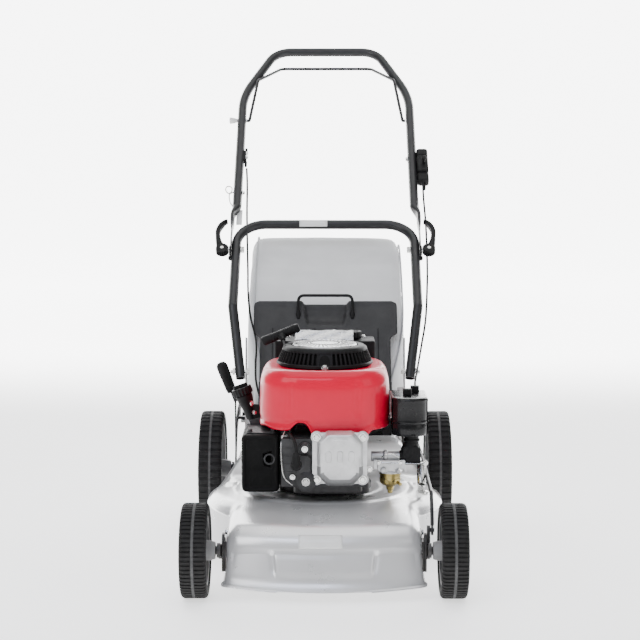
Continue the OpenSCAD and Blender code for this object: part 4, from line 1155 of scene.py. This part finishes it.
def make_height_grip():
    """The rubber grip of the height lever."""
    low, high = Vector((-209, 631, 294)), Vector((-230, 627, 350))
    d = (high - low).normalized()
    kit = Kit()
    kit.turned([(6, -1), (9.5, 0), (10.6, 3), (10.9, 14), (11.8, 34), (12.6, 50), (12.8, 60), (11.6, 66),
                (8, 70.5), (0.4, 72.4)], low, d, 32)
    for k in range(8):
        h = 8 + 5.6 * k
        kit.turned([(11 + h * 0.03, h), (11.7 + h * 0.03, h + 0.9), (11.7 + h * 0.03, h + 1.9),
                    (11 + h * 0.03, h + 2.8)], low, d, 32, caps=False)
    kit.done("height_knob", rubber, ["height_grip"], body="rear_crank", sharp=50)


make_upper_handle()
make_bail()
make_controls()
make_cam_levers()
make_height_grip()


# ---------- rear flap ----------
def make_flap():
    """The rear flap with its rim, pocket, wire handle, ribs and spring."""
    kit = Kit()

    def at(x, s, n):
        return plane(x, s, n, HINGE, FLAP)

    def half_width(s):
        return lerp(148, 164, smooth_step(186, 200, s))

    cols, rows = 89, 61
    grid = []
    for i in range(rows):
        s = lerp(6, 281, i / (rows - 1))
        row = []
        for j in range(cols):
            f = lerp(-1, 1, j / (cols - 1))
            hw = half_width(s)
            if s > 269:
                hw -= 12 - math.sqrt(max(0, 144 - (s - 269) ** 2))
            x = f * hw
            edge = min(hw - abs(x), 281 - s, s - 4)
            n = 4.2 + 1.6 * smooth_step(7, 4.5, edge)
            n += 0.7 * smooth_step(12, 10.5, edge) * smooth_step(7, 9, edge)
            mid = lerp(43, 54, (s - 219) / 62)
            pocket = smooth_step(0, 7, mid - abs(x)) * smooth_step(217, 226, s)
            n -= 17 * pocket * smooth_step(216, 250, s) ** 0.7
            n += 1.2 * smooth_step(5, 2, abs(abs(x) - mid - 3)) * smooth_step(214, 222, s)
            row.append(at(x, s, n))
        grid.append(row)
    kit.grid(grid)
    kit.done("flap_panel", flap_plastic, ["rear_flap"], body="flap", thick=2.4, sharp=50)
    kit = Kit()
    loop = filleted([at(-62, 246, 5), at(-63, 262, 11), at(-61, 287, 22), at(61, 287, 22), at(63, 262, 11),
                     at(62, 246, 5)], 15, 8)
    kit.tube(loop, 3.4, 16)
    for x in (-62, 62):
        kit.tube([at(x, 236, 4), at(x, 246, 5.5), at(x, 256, 8)], [3, 6, 4], 14)
    for x in np.arange(-120, 121, 48):
        kit.bar(at(x, 14, 5.6), at(x, 212, 5.4), 1.6, 1.2)
    kit.turned([(8, -148), (8, -60), (7, -59), (7, 59), (8, 60), (8, 148)], (0, 600, 248), ACROSS, 28)
    kit.done("flap_handle", black_plastic, body="flap", slot="flap_plastic", bevel=0.3)
    kit = Kit()
    coil = [Vector((70 + 26 * k / 90, 600 + 9.6 * math.cos(k * 0.7), 248 + 9.6 * math.sin(k * 0.7)))
            for k in range(91)]
    kit.tube(coil, 1.1, 8)
    kit.done("flap_spring", bright_steel, body="flap", sharp=60)


make_flap()


# ---------- grass bag ----------
BAG_TOP = [(664, 312), (700, 370), (770, 478), (850, 546), (925, 590), (1000, 619), (1060, 616),
           (1110, 590), (1146, 540), (1164, 470)]
BAG_LOW = [(664, 130), (700, 131), (770, 133), (850, 134), (925, 138), (1000, 150), (1060, 166),
           (1110, 215), (1146, 300), (1164, 380)]


BAG_CORNER = 15  # the higher, the squarer the bag's section


def make_bag():
    """The bag: rings between its top and bottom lines, draped, with piping along its seams."""
    top, low = spline([(0, y, z) for y, z in BAG_TOP], 6), spline([(0, y, z) for y, z in BAG_LOW], 6)
    n_ring, rows, pins = 72, [], []
    for i, (a, b) in enumerate(zip(top, low)):
        f = i / (len(top) - 1)
        y = (a.y + b.y) / 2
        half = lerp(150, 183, smooth_step(0, 0.22, f)) - 14 * smooth_step(0.8, 1, f)
        mid, tall = (a.z + b.z) / 2, (a.z - b.z) / 2
        row = []
        for k in range(n_ring):
            t = 2 * math.pi * (k + 0.5) / n_ring
            c, s = math.cos(t), math.sin(t)
            g = (abs(c) ** BAG_CORNER + abs(s) ** BAG_CORNER) ** (-1 / BAG_CORNER)
            row.append(Vector((half * c * g, y, mid + tall * s * g)))
            # held at the mouth, at the back panel, along the four corners and at one seam across
            corner, across = abs(abs(c) - abs(s)) < 0.10, f > 0.52 and abs(f - 0.55) < 0.03
            pins.append(float(i < 3 or i > len(top) - 3 or corner or across))
        rows.append(row)
    end = rows[-1]
    centre = sum(end, Vector()) / len(end)
    for f in (0.85, 0.65, 0.4, 0.15):
        rows.append([centre + (p - centre) * f + Vector((0, 1.5 * (1 - f), 0)) for p in end])
        pins += [0.0] * n_ring
    kit = Kit()
    kit.grid(rows, 0, True)
    kit.add(rows[-1], [tuple(range(n_ring))])
    mesh = bpy.data.meshes.new("bag_shell")
    mesh.from_pydata([metres(v) for v in kit.verts], [], kit.faces)
    welded(mesh, 1e-6)
    o = linked("bag_shell", mesh)
    group = o.vertex_groups.new(name="pin")
    for i, w in enumerate(pins[:len(mesh.vertices)]):
        group.add([i], w, "REPLACE")
    drape(o, "pin")
    wrinkle(o)
    mesh.materials.append(bag_cloth)
    m = o.modifiers.new("smooth", "SUBSURF")
    m.levels = m.render_levels = 1
    m = o.modifiers.new("cloth", "SOLIDIFY")
    m.thickness, m.offset = 0.0012, -1
    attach(o, "bag")
    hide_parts("bag_fabric")
    # seams: piping along the four long edges and round the back panel
    piping = Kit()
    for corner in (1, 3, 5, 7):
        k = int(round(corner / 8 * n_ring - 0.5))
        piping.tube([Vector((row[k].x * 0.995, row[k].y, row[k].z)) for row in rows[:len(top)]], 2.1, 8)
    piping.tube(end, 2.1, 8, closed=True)
    piping.tube([p + Vector((0, 3, 0)) for p in rows[0]], 3.0, 8, closed=True)
    piping.done("bag_seams", bag_piping, body="bag", slot="bag_cloth", sharp=70)
    strap = Kit()
    strap.tube(filleted([(-60, 1150, 395), (-58, 1170, 402), (58, 1170, 402), (60, 1150, 395)], 10, 6), 5,
               14)
    strap.done("bag_handle", black_plastic, body="bag", slot="dark_steel", sharp=60)


LAST_FRAME, FARTHEST = 24, 0.012  # frames the cloth has to settle, and how far a point may move, in metres


def drape(o, group):
    """Lets the panels hang between their pinned seams."""
    m = o.modifiers.new("cloth_sim", "CLOTH")
    s = m.settings
    s.quality, s.mass, s.vertex_group_mass = 6, 0.25, group
    s.tension_stiffness = s.compression_stiffness = 18
    s.shear_stiffness, s.bending_stiffness = 8, 0.6
    s.use_pressure, s.uniform_pressure_force = True, 0.35
    s.effector_weights.gravity = 0.6
    scene = bpy.context.scene
    m.point_cache.frame_start, m.point_cache.frame_end = 1, LAST_FRAME
    for f in range(1, LAST_FRAME + 1):
        scene.frame_set(f)
    dg = bpy.context.evaluated_depsgraph_get()
    hung = np.array([v.co for v in o.evaluated_get(dg).data.vertices])
    rest = np.array([v.co for v in o.data.vertices])
    move = hung - rest
    size = np.linalg.norm(move, axis=1, keepdims=True)
    move *= np.minimum(1, FARTHEST / np.maximum(size, 1e-9))
    o.modifiers.remove(m)
    o.data.vertices.foreach_set("co", (rest + move).ravel())
    scene.frame_set(1)


def wrinkle(o):
    """Small folds and puckers in the cloth."""
    for v in o.data.vertices:
        p = v.co
        a = noise.fractal(Vector((p.x * 5, p.y * 9, p.z * 4)), 0.9, 2.1, 4)
        b = noise.noise(Vector((p.x * 26, p.y * 5, p.z * 9)))
        v.co += v.normal * (0.0028 * a + 0.0011 * b - 0.002)


make_bag()


# ---------- control cables ----------
def cable(name, points, m, r, pieces):
    """A sheathed cable, cut into stretches at the joints it crosses."""
    line = spline(points, m)
    for label, first, last, between, body in pieces:
        kit = Kit()
        kit.tube(line[first * m:last * m + 1], r, 12)
        if between:
            a, b, start, end = between
            between = (a, b, metres(line[start * m]), metres(line[end * m]))
        kit.done(f"{name}_{label}", rubber, ["control_cables"] if label == "low" else [], body=body,
                 sharp=70, between=between)


BRAKE = [(-196, 1075, 785), (-193, 1040, 745), (-190, 960, 678), (-186, 890, 612), (-182, 830, 556),
         (-178, 760, 500), (-171, 715, 455), (-158, 680, 410), (-154.5, 640, 382), (-154.5, 600, 360),
         (-150, 540, 325), (-132, 480, 285), (-100, 420, 250), (-58, 358, 230)]
THROTTLE = [(236, 1004, 758), (237, 980, 716), (240, 925, 650), (240, 860, 566), (236, 790, 512),
            (229, 720, 448), (216, 650, 396), (204, 560, 365), (192, 450, 344), (184, 340, 330),
            (162, 300, 270), (158, 240, 246), (158, 211, 240)]
cable("brake_cable", BRAKE, 6, 2.4, [("low", 6, 13, ("chassis", "lower_frame", 9, 7), "chassis"),
                                     ("high", 0, 6, ("lower_frame", "upper_frame", 4, 1), "upper_frame")])
cable("throttle_cable", THROTTLE, 6, 2.4, [("low", 5, 12, ("chassis", "lower_frame", 8, 6), "chassis"),
                                           ("high", 0, 5, ("lower_frame", "upper_frame", 4, 1),
                                            "upper_frame")])

# ---------- floor, light and backdrop ----------
def sweep_floor():
    """A paper floor that curves up behind into the backdrop."""
    side_on = [(-9, 0), (-3, 0), (0, 0), (3, 0), (6, 0)] + arc(6, 3, 3, range(-80, 1, 10)) + [(9, 8)]
    kit = Kit()
    kit.grid([[(x, y, z) for x in np.linspace(-9, 9, 13)] for y, z in side_on])
    mesh = bpy.data.meshes.new("studio_sweep")
    mesh.from_pydata(kit.verts, [], kit.faces)
    mesh.polygons.foreach_set("use_smooth", [True] * len(mesh.polygons))
    paper = material("studio_paper", (0.93, 0.93, 0.93), 0.85, vary=0.006, blotch=1.2, grain=40, bump=0.0)
    # a glow that grows toward the back, so that the paper fades to white
    bsdf, nodes = paper.node_tree.nodes["Principled BSDF"].inputs, Nodes(paper.node_tree)
    depth = nodes.add("SeparateXYZ", nodes.add("TexCoord", out="Object"), out="Y")
    paper.node_tree.links.new(nodes.remap(depth, 1.3, 3.0, 1.25, 5.5, "SMOOTHSTEP"),
                              bsdf["Emission Strength"])
    bsdf["Emission Color"].default_value = (1, 1, 1, 1)
    mesh.materials.append(paper)
    linked("studio_sweep", mesh)


def soft_light(name, at, aim, size, power, tint=(1, 1, 1)):
    """A rectangular light at a place, turned to what it is aimed at; in metres."""
    data = bpy.data.lights.new(name, "AREA")
    data.energy, data.color, data.shape = power, tint, "RECTANGLE"
    data.size, data.size_y = size
    o = linked(name, data)
    o.location = at
    o.rotation_euler = (Vector(aim) - Vector(at)).to_track_quat("-Z", "Y").to_euler()


sweep_floor()
soft_light("key_left", (-2.6, -3.0, 2.8), (0, -0.2, 0.4), (2.2, 2.2), 80, (0.97, 0.98, 1.0))
soft_light("fill_right", (3.0, -2.4, 1.7), (0, -0.1, 0.5), (2.0, 2.4), 26, (1.0, 0.99, 0.97))
soft_light("overhead", (0, -0.2, 3.4), (0, 0, 0), (3.2, 3.2), 70)
soft_light("sky_card", (-0.5, -3.2, 3.1), (0, -0.5, 0.4), (1.6, 0.9), 30, (0.72, 0.78, 1.0))
soft_light("rear_glow", (0.0, 3.0, 2.6), (0, 0.2, 0.6), (3.0, 1.6), 40)
world = bpy.data.worlds.new("studio")
bpy.context.scene.world = world
world.use_nodes = True
world.node_tree.nodes["Background"].inputs["Color"].default_value = (0.96, 0.975, 1.0, 1)
world.node_tree.nodes["Background"].inputs["Strength"].default_value = 0.34
